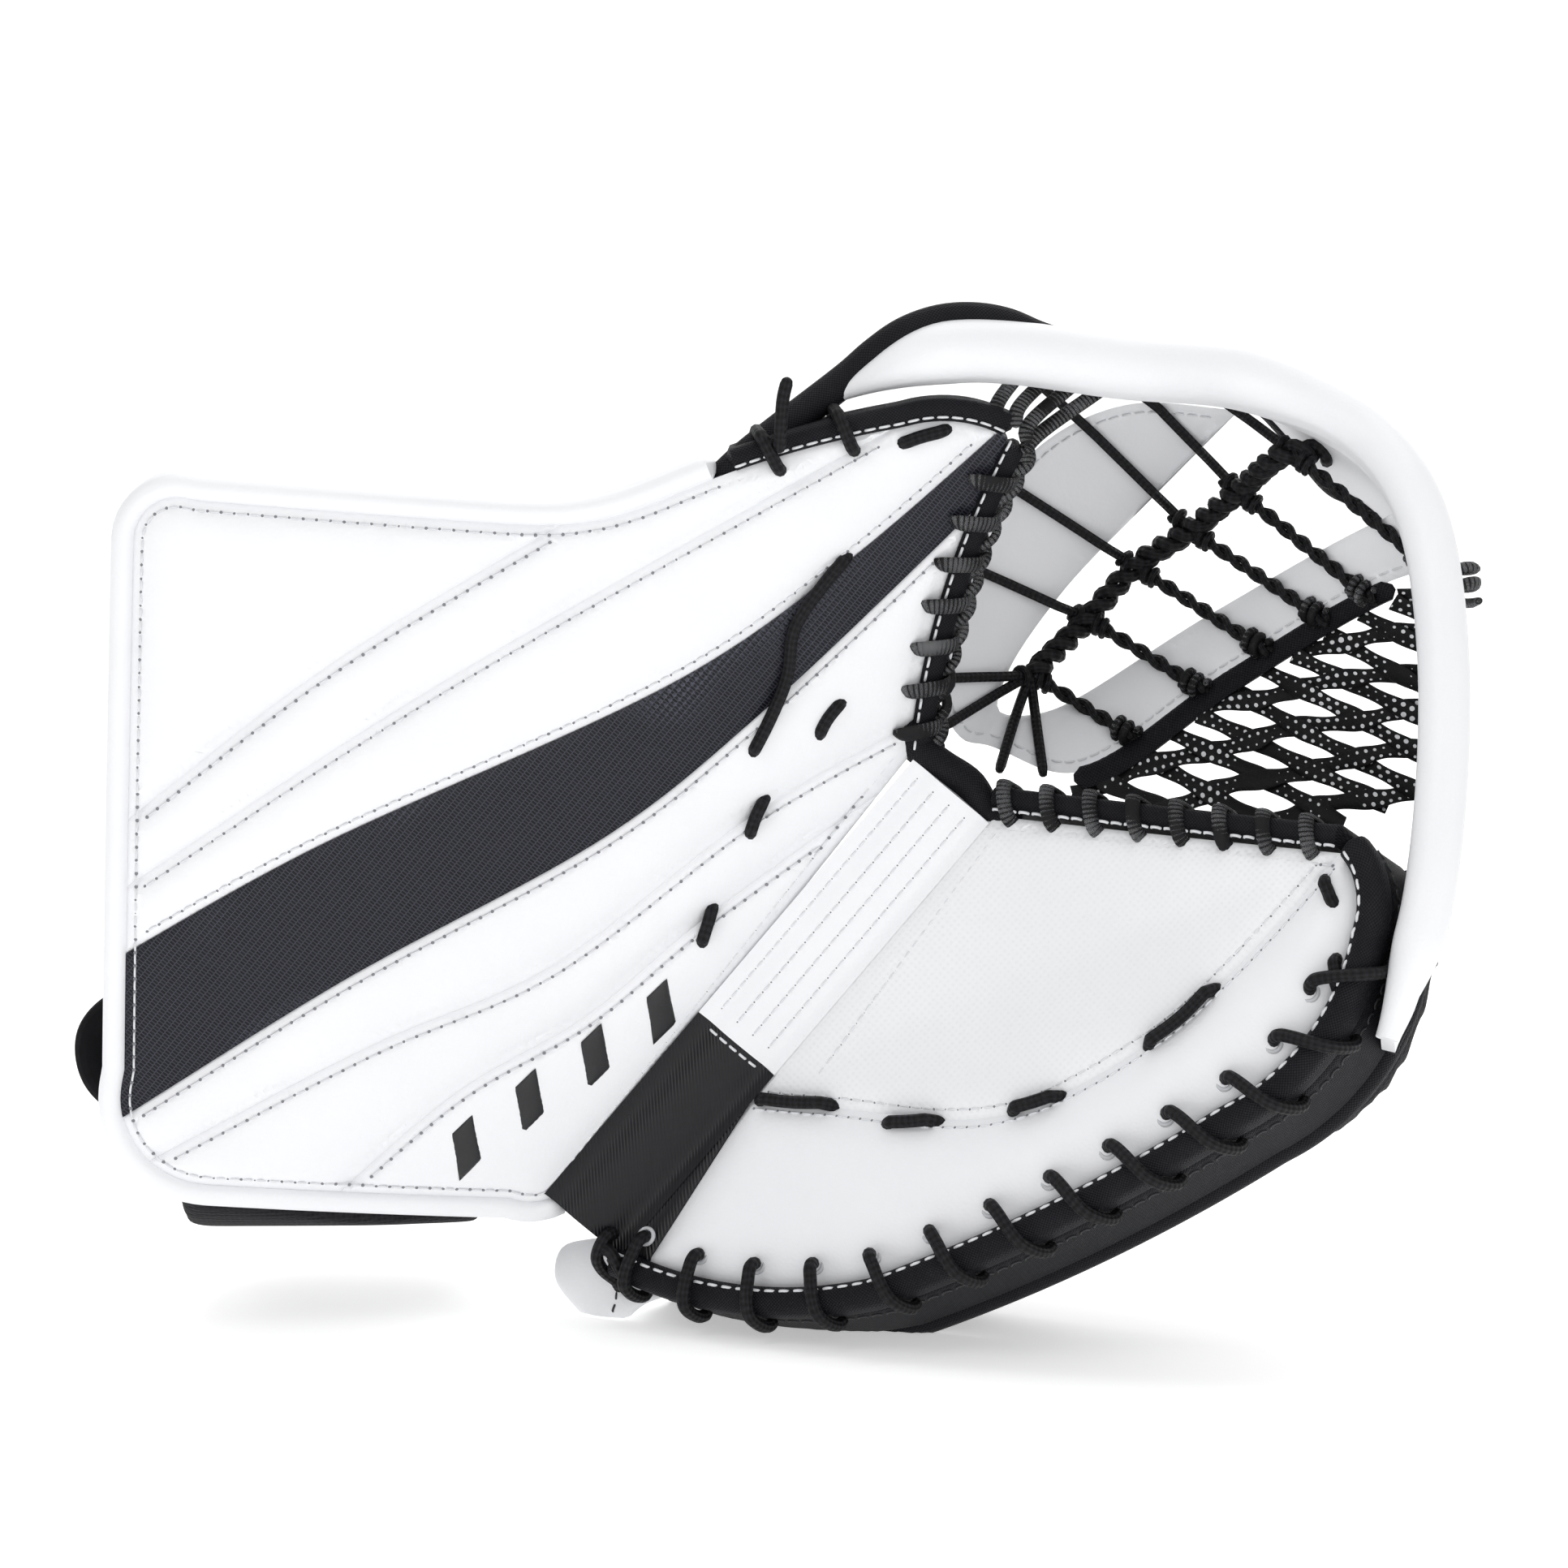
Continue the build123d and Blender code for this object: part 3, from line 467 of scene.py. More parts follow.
def skinned(name, strips, crease):
    """Closed strips as one piece. A strip is its rings and the texture's measures along and around it."""
    points, faces, uvs, first = [], [], [], 0
    for rings, along, around in strips:
        rows, count = rings.shape[:2]
        points.append(rings.reshape(-1, 3))
        for i in range(rows - 1):
            a, b = first + i * count, first + (i + 1) * count
            for j in range(count):
                k = (j + 1) % count
                faces.append((a + j, a + k, b + k, b + j))
                uvs += [(along[i], around[j]), (along[i], around[j + 1])]
                uvs += [(along[i + 1], around[j + 1]), (along[i + 1], around[j])]
        faces.append(tuple(first + j for j in reversed(range(count))))
        faces.append(tuple(first + (rows - 1) * count + j for j in range(count)))
        uvs += [(0, 0)] * (2 * count)
        first += rows * count
    return new_piece(name, np.vstack(points), faces, uvs, crease)


def cord_piece(name, lines, radius, sides=10, flatten=1.0, hint=None):
    """Runs of lace as one piece. Along is in metres, around in turns."""
    around = np.linspace(0, 1, sides + 1)
    strips = [(*tube_rings(np.asarray(line), radius, sides, flatten, hint), around) for line in lines]
    return skinned(name, strips, 80)


def threads(rows, place, pitch, length, proud=0.25):
    """Rows of separate stitches. Each row is a flat line, and height a number or one for each point."""
    lines = []
    for row in rows:
        row = np.asarray(row, float)
        run = run_along(row[:, :2])
        for start in np.arange(0.5 * pitch, run[-1] - length, pitch):
            stops = start + length * np.array([0, 0.15, 0.5, 0.85, 1.0])
            stitch = np.column_stack([np.interp(stops, run, row[:, k]) for k in range(3)])
            stitch[:, 2] += np.array([-0.7, 0.5 * proud, proud, 0.5 * proud, -0.7])
            lines.append(place(stitch))
    return lines


def thread_piece(name, lines, thickness):
    """All stitches of a row or more as one piece of thread, with few faces each."""
    along, around = np.arange(5) * MM, np.arange(6) / 5
    hint = (0.2, 1.0, 0.1)
    strips = [(rings_round(line, MM * thickness / 2, 5, 1.0, hint), along, around) for line in lines]
    return skinned(name, strips, 80)


# ---- Materials --------------------------------------------------------------------------------------
class Finish:
    """A node-based material, built up from the shader backwards."""

    def __init__(self, name, roughness, **sockets):
        self.material = bpy.data.materials.new(name)
        self.material.use_nodes = True
        self.tree = self.material.node_tree
        self.shader = self.tree.nodes["Principled BSDF"]
        self.shader.inputs["Roughness"].default_value = roughness
        for socket, value in sockets.items():
            self.shader.inputs[socket.replace("_", " ")].default_value = value

    def node(self, kind, *links, **values):
        """A node whose first inputs come from links; values set properties or named inputs."""
        made = self.tree.nodes.new(kind)
        for key, value in values.items():
            if hasattr(made, key):
                setattr(made, key, value)
            else:
                made.inputs[key].default_value = value
        for place, source in enumerate(links):
            if isinstance(source, (int, float)):
                made.inputs[place].default_value = source
            elif source is not None:
                self.tree.links.new(source, made.inputs[place])
        return made

    def math(self, operation, *links):
        return self.node("ShaderNodeMath", *links, operation=operation).outputs[0]

    def place(self, what="Object", scale=(1, 1, 1)):
        """Coordinates of the piece, in metres, stretched by scale."""
        source = self.node("ShaderNodeTexCoord").outputs[what]
        mapping = self.node("ShaderNodeMapping", source)
        mapping.inputs["Scale"].default_value = scale
        return mapping.outputs[0]

    def colour(self, share, dark, light):
        """Colour between two, by a share from 0 to 1."""
        mix = self.node("ShaderNodeMix", data_type="RGBA")
        self.tree.links.new(share, mix.inputs["Factor"])
        mix.inputs[6].default_value = (*dark, 1)
        mix.inputs[7].default_value = (*light, 1)
        self.tree.links.new(mix.outputs[2], self.shader.inputs["Base Color"])

    def bump(self, height, depth, strength=1.0):
        """Relief of a real depth in metres."""
        relief = self.node("ShaderNodeBump", Strength=strength, Distance=depth)
        self.tree.links.new(height, relief.inputs["Height"])
        self.tree.links.new(relief.outputs[0], self.shader.inputs["Normal"])

    def rough(self, share, low, high):
        spread = self.math("MULTIPLY_ADD", share, high - low, low)
        self.tree.links.new(spread, self.shader.inputs["Roughness"])


def grained_leather(name, dark, light, roughness, grain=900.0, depth=0.00012):
    finish = Finish(name, roughness, Coat_Weight=0.05, Coat_Roughness=0.35)
    spot = finish.place()
    cells = finish.node("ShaderNodeTexVoronoi", spot, feature="SMOOTH_F1", Scale=grain, Smoothness=0.6)
    cloud = finish.node("ShaderNodeTexNoise", spot, Scale=28.0, Detail=4.0)
    fine = finish.node("ShaderNodeTexNoise", spot, Scale=grain * 2.2, Detail=2.0)
    finish.colour(cloud.outputs[0], dark, light)
    height = finish.math("ADD", cells.outputs[0], finish.math("MULTIPLY", fine.outputs[0], 0.5))
    finish.bump(height, depth, 0.5)
    finish.rough(cloud.outputs[0], roughness - 0.06, roughness + 0.08)
    return finish.material


def dimpled_leather(name):
    """Palm leather, with a fine regular dimple; its colour is darker in the dimples' hollows as painted
    shade, over a random tone.
    """
    finish = Finish(name, 0.5)
    spot = finish.place("UV", (520, 520, 520))
    dimple = finish.node("ShaderNodeTexVoronoi", spot, feature="F1", Scale=1.0, Randomness=0.12)
    hollow = finish.math("SMOOTH_MIN", dimple.outputs[0], 0.42, 0.2)
    cloud = finish.node("ShaderNodeTexNoise", finish.place(), Scale=22.0, Detail=3.0)
    # Painted shade: colour darker in each dimple's hollow, times the leather's random tone.
    share = finish.math("MULTIPLY", finish.math("MULTIPLY", hollow, 2.3), cloud.outputs[0])
    finish.colour(share, (0.80, 0.808, 0.825), (0.89, 0.895, 0.90))
    finish.bump(hollow, 0.0003, 0.7)
    finish.rough(cloud.outputs[0], 0.42, 0.6)
    return finish.material


def woven(name, dark, light, pitch, roughness, depth, sheen=0.0, slant=0.0):
    """Plain woven nylon: warp over weft, pitch in metres."""
    finish = Finish(name, roughness, Specular_IOR_Level=0.12, Sheen_Weight=sheen, Sheen_Roughness=0.4)
    spot = finish.place("UV", (1 / pitch, 1 / pitch, 1))
    parts = finish.node("ShaderNodeSeparateXYZ", spot)
    along, over = parts.outputs[0], parts.outputs[1]
    if slant:
        along = finish.math("ADD", along, finish.math("MULTIPLY", over, slant))
    full = 2 * math.pi
    warp = finish.math("SINE", finish.math("MULTIPLY", along, full))
    weft = finish.math("SINE", finish.math("MULTIPLY", over, full))
    weave = finish.math("MULTIPLY_ADD", finish.math("MULTIPLY", warp, weft), 0.5, 0.5)
    cloud = finish.node("ShaderNodeTexNoise", finish.place(), Scale=160.0, Detail=3.0)
    share = finish.math("MULTIPLY", weave, finish.math("MULTIPLY_ADD", cloud.outputs[0], 0.8, 0.4))
    finish.colour(share, dark, light)
    finish.bump(weave, depth, 0.8)
    finish.rough(weave, roughness + 0.1, roughness - 0.1)
    return finish.material


def stripe_weave(name):
    """Coated black mesh: short light dashes, with a patch of round dots."""
    finish = Finish(name, 0.36, Specular_IOR_Level=0.22)
    spot = finish.place("UV", (1000, 1000, 1))
    dash = finish.node("ShaderNodeTexBrick", spot, Scale=1.0, offset=0.5, squash=1.0)
    dash.inputs["Color1"].default_value = (0, 0, 0, 1)
    dash.inputs["Color2"].default_value = (0.12, 0.12, 0.12, 1)
    dash.inputs["Mortar"].default_value = (1, 1, 1, 1)
    dash.inputs["Mortar Size"].default_value = 0.16
    dash.inputs["Brick Width"].default_value = 1.0
    dash.inputs["Row Height"].default_value = 1.9
    dots = finish.node(
        "ShaderNodeTexVoronoi", finish.place("UV", (480, 480, 480)), feature="F1", Scale=1.0, Randomness=0.0
    )
    dot = finish.math("LESS_THAN", dots.outputs[0], 0.33)
    patch = finish.node("ShaderNodeTexNoise", finish.place("UV", (11, 16, 1)), Scale=1.0, Detail=1.0)
    where = finish.math("MULTIPLY", finish.math("SUBTRACT", patch.outputs[0], 0.5), 7.0)
    where = finish.math("MINIMUM", finish.math("MAXIMUM", where, 0.0), 1.0)
    grey = finish.node("ShaderNodeRGBToBW", dash.outputs[0]).outputs[0]
    dashes = finish.math("MULTIPLY", grey, 0.38)
    dots_here = finish.math("MULTIPLY", finish.math("MULTIPLY", dot, where), 0.55)
    share = finish.math("ADD", dashes, dots_here)
    finish.colour(share, (0.0012, 0.0013, 0.003), (0.11, 0.115, 0.15))
    finish.bump(share, 0.00018, 0.8)
    finish.rough(patch.outputs[0], 0.28, 0.5)
    return finish.material


def braided(name, dark, light, strands, lay, depth=0.0005):
    """Round braided lace: two ways of slanting strands. UV is metres along and turns around."""
    finish = Finish(name, 0.62, Specular_IOR_Level=0.2)
    parts = finish.node("ShaderNodeSeparateXYZ", finish.place("UV", (1 / lay, strands, 1)))
    along, around = parts.outputs[0], parts.outputs[1]
    full = 2 * math.pi
    one = finish.math("SINE", finish.math("MULTIPLY", finish.math("ADD", along, around), full))
    other = finish.math("SINE", finish.math("MULTIPLY", finish.math("SUBTRACT", along, around), full))
    height = finish.math("MULTIPLY_ADD", finish.math("MULTIPLY", one, other), 0.5, 0.5)
    cloud = finish.node("ShaderNodeTexNoise", finish.place(), Scale=900.0, Detail=2.0)
    share = finish.math("MULTIPLY", height, cloud.outputs[0])
    finish.colour(share, dark, light)
    finish.bump(height, depth, 0.9)
    return finish.material


def dotted_lace(name):
    """Flat woven lace, black with white dots in two rows. UV is metres along and across."""
    finish = Finish(name, 0.6, Specular_IOR_Level=0.25)
    cells = finish.node("ShaderNodeSeparateXYZ", finish.place("UV", (1 / 0.0028, 1 / 0.0030, 1)))
    row = finish.math("FLOOR", cells.outputs[1])
    shifted = finish.math("ADD", cells.outputs[0], finish.math("MULTIPLY", row, 0.5))
    across = finish.math("SUBTRACT", finish.math("FRACT", cells.outputs[1]), 0.5)
    along = finish.math("SUBTRACT", finish.math("FRACT", shifted), 0.5)
    reach = finish.math("ADD", finish.math("POWER", finish.math("ABSOLUTE", across), 2.0),
                        finish.math("POWER", finish.math("ABSOLUTE", along), 2.0))
    patch = finish.node("ShaderNodeTexNoise", finish.place(), Scale=70.0, Detail=1.0)
    size = finish.math("MULTIPLY", finish.math("SUBTRACT", patch.outputs[0], 0.36), 0.22)
    dot = finish.math("LESS_THAN", reach, size)
    weave = finish.node("ShaderNodeTexVoronoi", finish.place(), Scale=1400.0)
    finish.colour(dot, (0.004, 0.004, 0.005), (0.75, 0.76, 0.78))
    finish.bump(finish.math("ADD", weave.outputs[0], dot), 0.0002, 0.7)
    return finish.material


def ribbed_vinyl(name):
    finish = Finish(name, 0.3, Specular_IOR_Level=0.3)
    spot = finish.place("UV")
    ribs = finish.node("ShaderNodeTexWave", spot, bands_direction="DIAGONAL", Scale=420.0)
    cloud = finish.node("ShaderNodeTexNoise", finish.place(), Scale=60.0, Detail=3.0)
    finish.colour(cloud.outputs[0], (0.002, 0.002, 0.003), (0.007, 0.007, 0.010))
    finish.bump(ribs.outputs[1], 0.0002, 0.5)
    finish.rough(cloud.outputs[0], 0.2, 0.42)
    return finish.material


def knitted(name, dark, light, loop, roughness, sheen):
    """Spacer knit or tricot: small open loops in rows."""
    finish = Finish(name, roughness, Specular_IOR_Level=0.15, Sheen_Weight=sheen, Sheen_Roughness=0.45)
    loops = finish.node("ShaderNodeTexVoronoi", finish.place(), feature="F1", Scale=1 / loop, Randomness=0.25)
    cloud = finish.node("ShaderNodeTexNoise", finish.place(), Scale=35.0, Detail=4.0)
    share = finish.math("MULTIPLY", loops.outputs[0], finish.math("MULTIPLY_ADD", cloud.outputs[0], 0.9, 0.5))
    finish.colour(share, dark, light)
    finish.bump(loops.outputs[0], 0.0005, 0.7)
    return finish.material


def plain_thread(name, dark, light, roughness=0.6):
    finish = Finish(name, roughness)
    twist = finish.node("ShaderNodeTexNoise", finish.place(), Scale=2500.0, Detail=2.0)
    finish.colour(twist.outputs[0], dark, light)
    finish.bump(twist.outputs[0], 0.0001, 0.5)
    return finish.material


def moulded(name, dark, light, roughness, **sockets):
    finish = Finish(name, roughness, **sockets)
    cloud = finish.node("ShaderNodeTexNoise", finish.place(), Scale=220.0, Detail=3.0)
    finish.colour(cloud.outputs[0], dark, light)
    finish.bump(cloud.outputs[0], 0.0001, 0.4)
    finish.rough(cloud.outputs[0], roughness - 0.05, roughness + 0.1)
    return finish.material


WHITE = grained_leather("white_cover", (0.83, 0.838, 0.86), (0.89, 0.895, 0.91), 0.42)
PALM = dimpled_leather("dimpled_palm")
BLACK = grained_leather("black_leather", (0.004, 0.004, 0.005), (0.012, 0.012, 0.014), 0.42, 700.0)
STRIPE = stripe_weave("stripe_mesh")
BINDING = woven("nylon_binding", (0.002, 0.002, 0.003), (0.022, 0.022, 0.027), 0.0011, 0.55, 0.0003)
ROUND_LACE = braided("round_lace", (0.002, 0.002, 0.0025), (0.028, 0.028, 0.032), 4, 0.0042)
FLAT_LACE = dotted_lace("flat_dotted_lace")
VINYL = ribbed_vinyl("ribbed_vinyl")
PADDING = knitted("padded_knit", (0.002, 0.002, 0.003), (0.020, 0.020, 0.024), 0.0016, 0.8, 0.03)
TRICOT = knitted("brushed_lining", (0.005, 0.005, 0.007), (0.028, 0.028, 0.034), 0.0010, 0.9, 0.08)
WEBBING = woven("webbing", (0.002, 0.002, 0.003), (0.03, 0.03, 0.036), 0.0022, 0.6, 0.0005, 0.0, 0.5)
FOAM = knitted("closed_foam", (0.30, 0.31, 0.33), (0.42, 0.43, 0.45), 0.0012, 0.9, 0.0)
BOARD = moulded("stiff_board", (0.03, 0.03, 0.035), (0.07, 0.07, 0.08), 0.5)
THREAD = plain_thread("white_thread", (0.62, 0.63, 0.66), (0.86, 0.87, 0.88))
# The grey of the needle holes is painted shade in the holes.
NEEDLE_HOLE_SHADE = plain_thread("needle_hole_shade", (0.16, 0.165, 0.18), (0.28, 0.285, 0.31))
BLACK_THREAD = plain_thread("black_thread", (0.01, 0.01, 0.012), (0.05, 0.05, 0.055))
EYELET = moulded("clear_eyelet", (0.70, 0.72, 0.75), (0.85, 0.86, 0.88), 0.2, Transmission_Weight=0.35)


# ---- Putting a piece on the glove -----------------------------------------------------------------
def fit(piece, material, slot, body, *nodes, fill=None):
    """Covers a piece, and rides it on a body in place of CAD nodes."""
    piece.data.materials.append(material)
    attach(piece, body)
    if nodes:
        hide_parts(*nodes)
    return piece


def fit_across(piece, material, slot, *nodes, reach=14.0, fill=None):
    """Covers a piece that lies over the break; its place is baked into its points."""
    piece.data.materials.append(material)
    start, end = open_place([(100, reach, 0), (100, -reach, 0)]).tolist()
    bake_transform(piece)
    if nodes:
        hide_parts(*nodes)
    return piece


THUMB, FINGER = "thumb_half", "finger_half"

# ---- Cuff and thumb covers ------------------------------------------------------------------------
CORNER_SEAM = smooth_line([(4, 199), (95, 179), (180, 150)], 3)
UPPER_SEAM = smooth_line([(-8, 186), (109, 150), (282, 84)], 3)
STRIPE_TOP = smooth_line([(-26, 174), (45, 147), (167, 89), (225, 74), (300, 62)], 3)
STRIPE_BOTTOM = smooth_line([(-64, 140), (20, 112), (111, 76), (165, 65), (300, 50)], 3)
LOWER_SEAM = smooth_line([(-72, 126), (10, 91), (62, 64), (144, 44), (200, 22)], 3)
BADGE_SEAM = smooth_line([(-60, 72), (14, 60), (57, 44), (105, 35), (198, 10)], 3)
PAST_CORNER = np.array([(-20, 300), (150, 320), (320, 300), (320, 120)], float)
PAST_BREAK = np.array([(-80, -20), (220, -20)], float)
CUFF_SEAMS = [CORNER_SEAM, UPPER_SEAM, STRIPE_TOP, STRIPE_BOTTOM, LOWER_SEAM, BADGE_SEAM]

cuff_sheet = cut_sheet(THUMB_OUTLINE, CUFF_SEAMS)
# name: upper line, lower line, finish, slot, height at the seam and at the crown
CUFF_PANELS = {
    "cuff_corner_panel": (PAST_CORNER, CORNER_SEAM, WHITE, "white_leather", -2.2, 1.5),
    "cuff_upper_panel": (CORNER_SEAM, UPPER_SEAM, WHITE, "white_leather", -2.2, 1.3),
    "cuff_chevron_panel": (UPPER_SEAM, STRIPE_TOP, WHITE, "white_leather", -2.2, 1.8),
    "cuff_stripe": (STRIPE_TOP, STRIPE_BOTTOM, STRIPE, "stripe_mesh", -1.4, -0.2),
    "cuff_lower_panel": (STRIPE_BOTTOM, LOWER_SEAM, WHITE, "white_leather", -2.2, 1.4),
    "cuff_badge_panel": (LOWER_SEAM, BADGE_SEAM, WHITE, "white_leather", -2.2, 1.6),
    "cuff_heel_panel": (BADGE_SEAM, PAST_BREAK, WHITE, "white_leather", -2.2, 1.2),
}
for name, (upper, lower, finish, slot, edge, crown) in CUFF_PANELS.items():
    region = np.vstack([upper, lower[::-1] if name != "cuff_heel_panel" else PAST_BREAK[::-1]])
    groove = 0.0 if finish is STRIPE else 0.6
    panel = slab(
        name + "_cover", cuff_sheet, thumb_place, puffed(edge, crown, 3.4, groove), level(-COVER), region
    )
    fit(panel, finish, slot, THUMB, name, fill=0.6)


def rows_inside(line, outline, margin):
    """The stretches of a line that lie well inside an outline."""
    line = resample(line, 1.0)
    closed = np.vstack([outline, outline[:1]])
    good = inside(line, outline) & (distance(line, closed[:-1], closed[1:]) > margin)
    cuts = np.flatnonzero(np.diff(good.astype(int))) + 1
    return [part for part, ok in zip(np.split(line, cuts), np.split(good, cuts)) if ok[0] and len(part) > 6]


def seam_rows(line, outline, offset, height=0.0, margin=4.5):
    return [lifted(row, height) for row in rows_inside(beside(line, offset), outline, margin)]


def needle_hole_shades(name, rows, place, pitch, size=0.62):
    """Painted shade of the needle holes where the thread goes in: low grey domes, not dents."""
    points, faces = [], []
    turn = np.linspace(0, 2 * math.pi, 7)[:-1]
    for row in rows:
        run = run_along(row[:, :2])
        for stop in np.arange(0.5 * pitch - 0.6, run[-1], pitch):
            centre = np.array([np.interp(stop, run, row[:, k]) for k in range(3)])
            ring = centre + np.column_stack([size * np.cos(turn), size * np.sin(turn), np.full(6, -0.35)])
            first = 7 * len(points)
            points.append(place(np.vstack([ring, centre + (0, 0, 0.30)])))
            faces += [(first + k, first + (k + 1) % 6, first + 6) for k in range(6)]
            faces.append(tuple(first + k for k in reversed(range(6))))
    corners = sum(len(f) for f in faces)
    return new_piece(name, np.vstack(points), faces, np.zeros((corners, 2)), 80)


cuff_rows = []
for line, offset in zip(CUFF_SEAMS, (3.0, 3.0, -3.0, 3.0, 3.0, 3.0)):
    cuff_rows += seam_rows(line, THUMB_OUTLINE, offset)
cuff_rows += [lifted(beside(WHITE_EDGE, -3.0), -0.2)]
cuff_rows += [lifted(resample([(14, 16.5), (184, 22)], 2), -0.2)]
stitches = threads(cuff_rows, thumb_place, 4.2, 3.0)
fit(thread_piece("cuff_stitches", stitches, 0.7), THREAD, "white_leather", THUMB)
fit(needle_hole_shades("cuff_needle_hole_shades", cuff_rows, thumb_place, 4.2), NEEDLE_HOLE_SHADE, "white_leather", THUMB)

# Plain slanted bars on the badge panel
BARS = [(-4, 46), (20, 40), (44, 33), (68, 26)]
for index, (u, v) in enumerate(BARS):
    corners = np.array([(u - 5, v - 5), (u + 5, v - 6), (u + 15, v + 6), (u + 6, v + 7)], float)
    outline = resample(np.vstack([corners, corners[:1]]), 1.5)[:-1]
    bar = slab(
        f"badge_bar_{index + 1}", cut_sheet(outline, [], 3.0, (0.4, 1.0)), thumb_place,
        puffed(1.0, 1.75, 0.5), level(0.2),
    )
    fit(bar, BLACK, "black_leather", THUMB)

# ---- Inside the thumb half ------------------------------------------------------------------------
board_sheet = cut_sheet(THUMB_OUTLINE, [], 8.0, (1.2, 3.5))
foam = slab("thumb_foam", board_sheet, thumb_place, puffed(-4.4, -3.05, 2), puffed(-15.6, -16.95, 2))
fit(foam, FOAM, "foam", THUMB, "thumb_core", fill=0.8)
lining = slab("thumb_hand_lining", board_sheet, thumb_place, level(-19.1), puffed(-20.4, -22.0, 5))
fit(lining, TRICOT, "lining", THUMB, "thumb_lining", fill=0.5)

# ---- Bound edges ----------------------------------------------------------------------------------
EDGE_SECTION = rounded_box((-0.4, -STACK), (EDGE, 0.6), 3.6)
edge = band("cuff_edge_piping", WHITE_EDGE, thumb_place, EDGE_SECTION)
fit(edge, WHITE, "white_leather", THUMB, "cuff_edge_roll", fill=0.8)
top = band("thumb_top_edge", THUMB_TOP, thumb_place, EDGE_SECTION)
fit(top, BINDING, "binding", THUMB, "thumb_top_binding", fill=0.4)
side = band("thumb_side_edge", THUMB_EDGE, thumb_place, EDGE_SECTION)
fit(side, BINDING, "binding", THUMB, "thumb_edge_binding", fill=0.8)
binding_rows = [lifted(beside(THUMB_TOP, 1.3), 0.3), lifted(beside(THUMB_EDGE, 1.3), 0.3)]
stitches = threads(binding_rows, thumb_place, 4.6, 3.2, 0.5)
fit(thread_piece("thumb_binding_stitches", stitches, 0.9), THREAD, "binding", THUMB)

# ---- Lace through the cuff ------------------------------------------------------------------------
CUFF_LACES = [
    [(225, 76), (212, 76), (196, 74), (183, 66), (168, 61), (155, 58)],
    [(189, 47), (180, 47), (172, 45)],
    [(149, 46), (141, 44), (134, 41)],
    [(111, 36), (104, 33), (97, 30)],
]


def surface_lace(points, place, proud=1.6):
    """A run of lace lying on a cover, its ends going in through the cover."""
    run = smooth_line(points, 2.0)
    reach = np.minimum(np.arange(len(run)), np.arange(len(run))[::-1]) * 2.0
    height = -3.2 + (proud + 3.2) * smooth_step(reach / 4.0)
    return resample(place(lifted(run, height)), 0.0012)


laces = [surface_lace(points, thumb_place) for points in CUFF_LACES]
fit(cord_piece("cuff_lace", laces, LACE_RADIUS), ROUND_LACE, "lace", THUMB, "cuff_lacing")

# ---- The break: a soft gusset that rolls over the hinge line ---------------------------------------
GUSSET_SPLIT = 80.0  # black vinyl from the heel to here, white leather beyond


def finger_section(s, h):
    """A finger point as (across, forward) of the break line."""
    return (-(s * math.cos(TILT) - h * math.sin(TILT)), s * math.sin(TILT) + h * math.cos(TILT))


gusset_top = [(16.5, float(thumb_face(16.5)) + 0.3), (12, 7.6), (6, 8.9), (0, 9.2), (-6, 8.9)]
gusset_top += [finger_section(14, finger_face(14) + 0.7), finger_section(18.5, finger_face(18.5) + 0.3)]
roll_turn = np.radians(np.linspace(-175, -5, 10))
gusset_under = np.column_stack([9 * np.cos(roll_turn), 9 * np.sin(roll_turn)])
GUSSET_SECTION = resample(np.vstack([smooth_line(gusset_top, 1.5), gusset_under, gusset_top[:1]]), 1.8)[:-1]


def gusset(name, start, end):
    stops = resample([(start, 0), (end, 0)], 3.0)[:, 0]
    rings = [
        open_place(np.column_stack([np.full(len(GUSSET_SECTION), u), GUSSET_SECTION])) for u in stops
    ]
    around = np.arange(len(GUSSET_SECTION) + 1) * 1.8 * MM
    return loft(name, np.array(rings), stops * MM, around)


fit_across(gusset("break_gusset_heel", 3, GUSSET_SPLIT), VINYL, "black_leather", "heel_roll", fill=0.6)
fit_across(gusset("break_gusset", GUSSET_SPLIT, 186), WHITE, "white_leather", "break_roll", fill=0.6)


def gusset_place(points):
    """(along, across, proud) on the gusset's top."""
    u, v, h = columns(points)
    top = np.array(sorted(smooth_line(gusset_top, 0.5).tolist()))
    return open_place(np.column_stack([u, v, np.interp(v, top[:, 0], top[:, 1]) + h]))


gusset_rows = [lifted(resample([(84, v), (184, v)], 2), 0.0) for v in (11.5, 5, -1.5, -8)]
stitches = threads(gusset_rows, gusset_place, 4.2, 3.0)
fit_across(thread_piece("gusset_stitches", stitches, 0.7), THREAD, "white_leather")
fit_across(needle_hole_shades("gusset_needle_hole_shades", gusset_rows, gusset_place, 4.2), NEEDLE_HOLE_SHADE, "white_leather")
heel_row = [lifted(resample([(GUSSET_SPLIT - 2, 12), (GUSSET_SPLIT - 2, -11)], 2), 0.1)]
stitches = threads(heel_row, gusset_place, 4.0, 2.8)
fit_across(thread_piece("gusset_end_stitches", stitches, 0.9), THREAD, "black_leather")

# ---- Palm and finger covers -----------------------------------------------------------------------
PALM_SEAM = smooth_line([(60, 4), (84, 38), (121, 87), (169, 110), (204, 116), (262, 118)], 3)
GUSSET_EDGE = resample([(84, 6), (79, 15), (14, 25), (-8, 28)], 3)
HEEL_REGION = np.array([(-30, 0), (84, 0), (79, 15), (14, 25), (-30, 34)], float)
palm_sheet = cut_sheet(FINGER_OUTLINE, [PALM_SEAM, GUSSET_EDGE])
PALM_REGION = np.vstack([PALM_SEAM, [(262, 0), (84, 0), (79, 15)]])


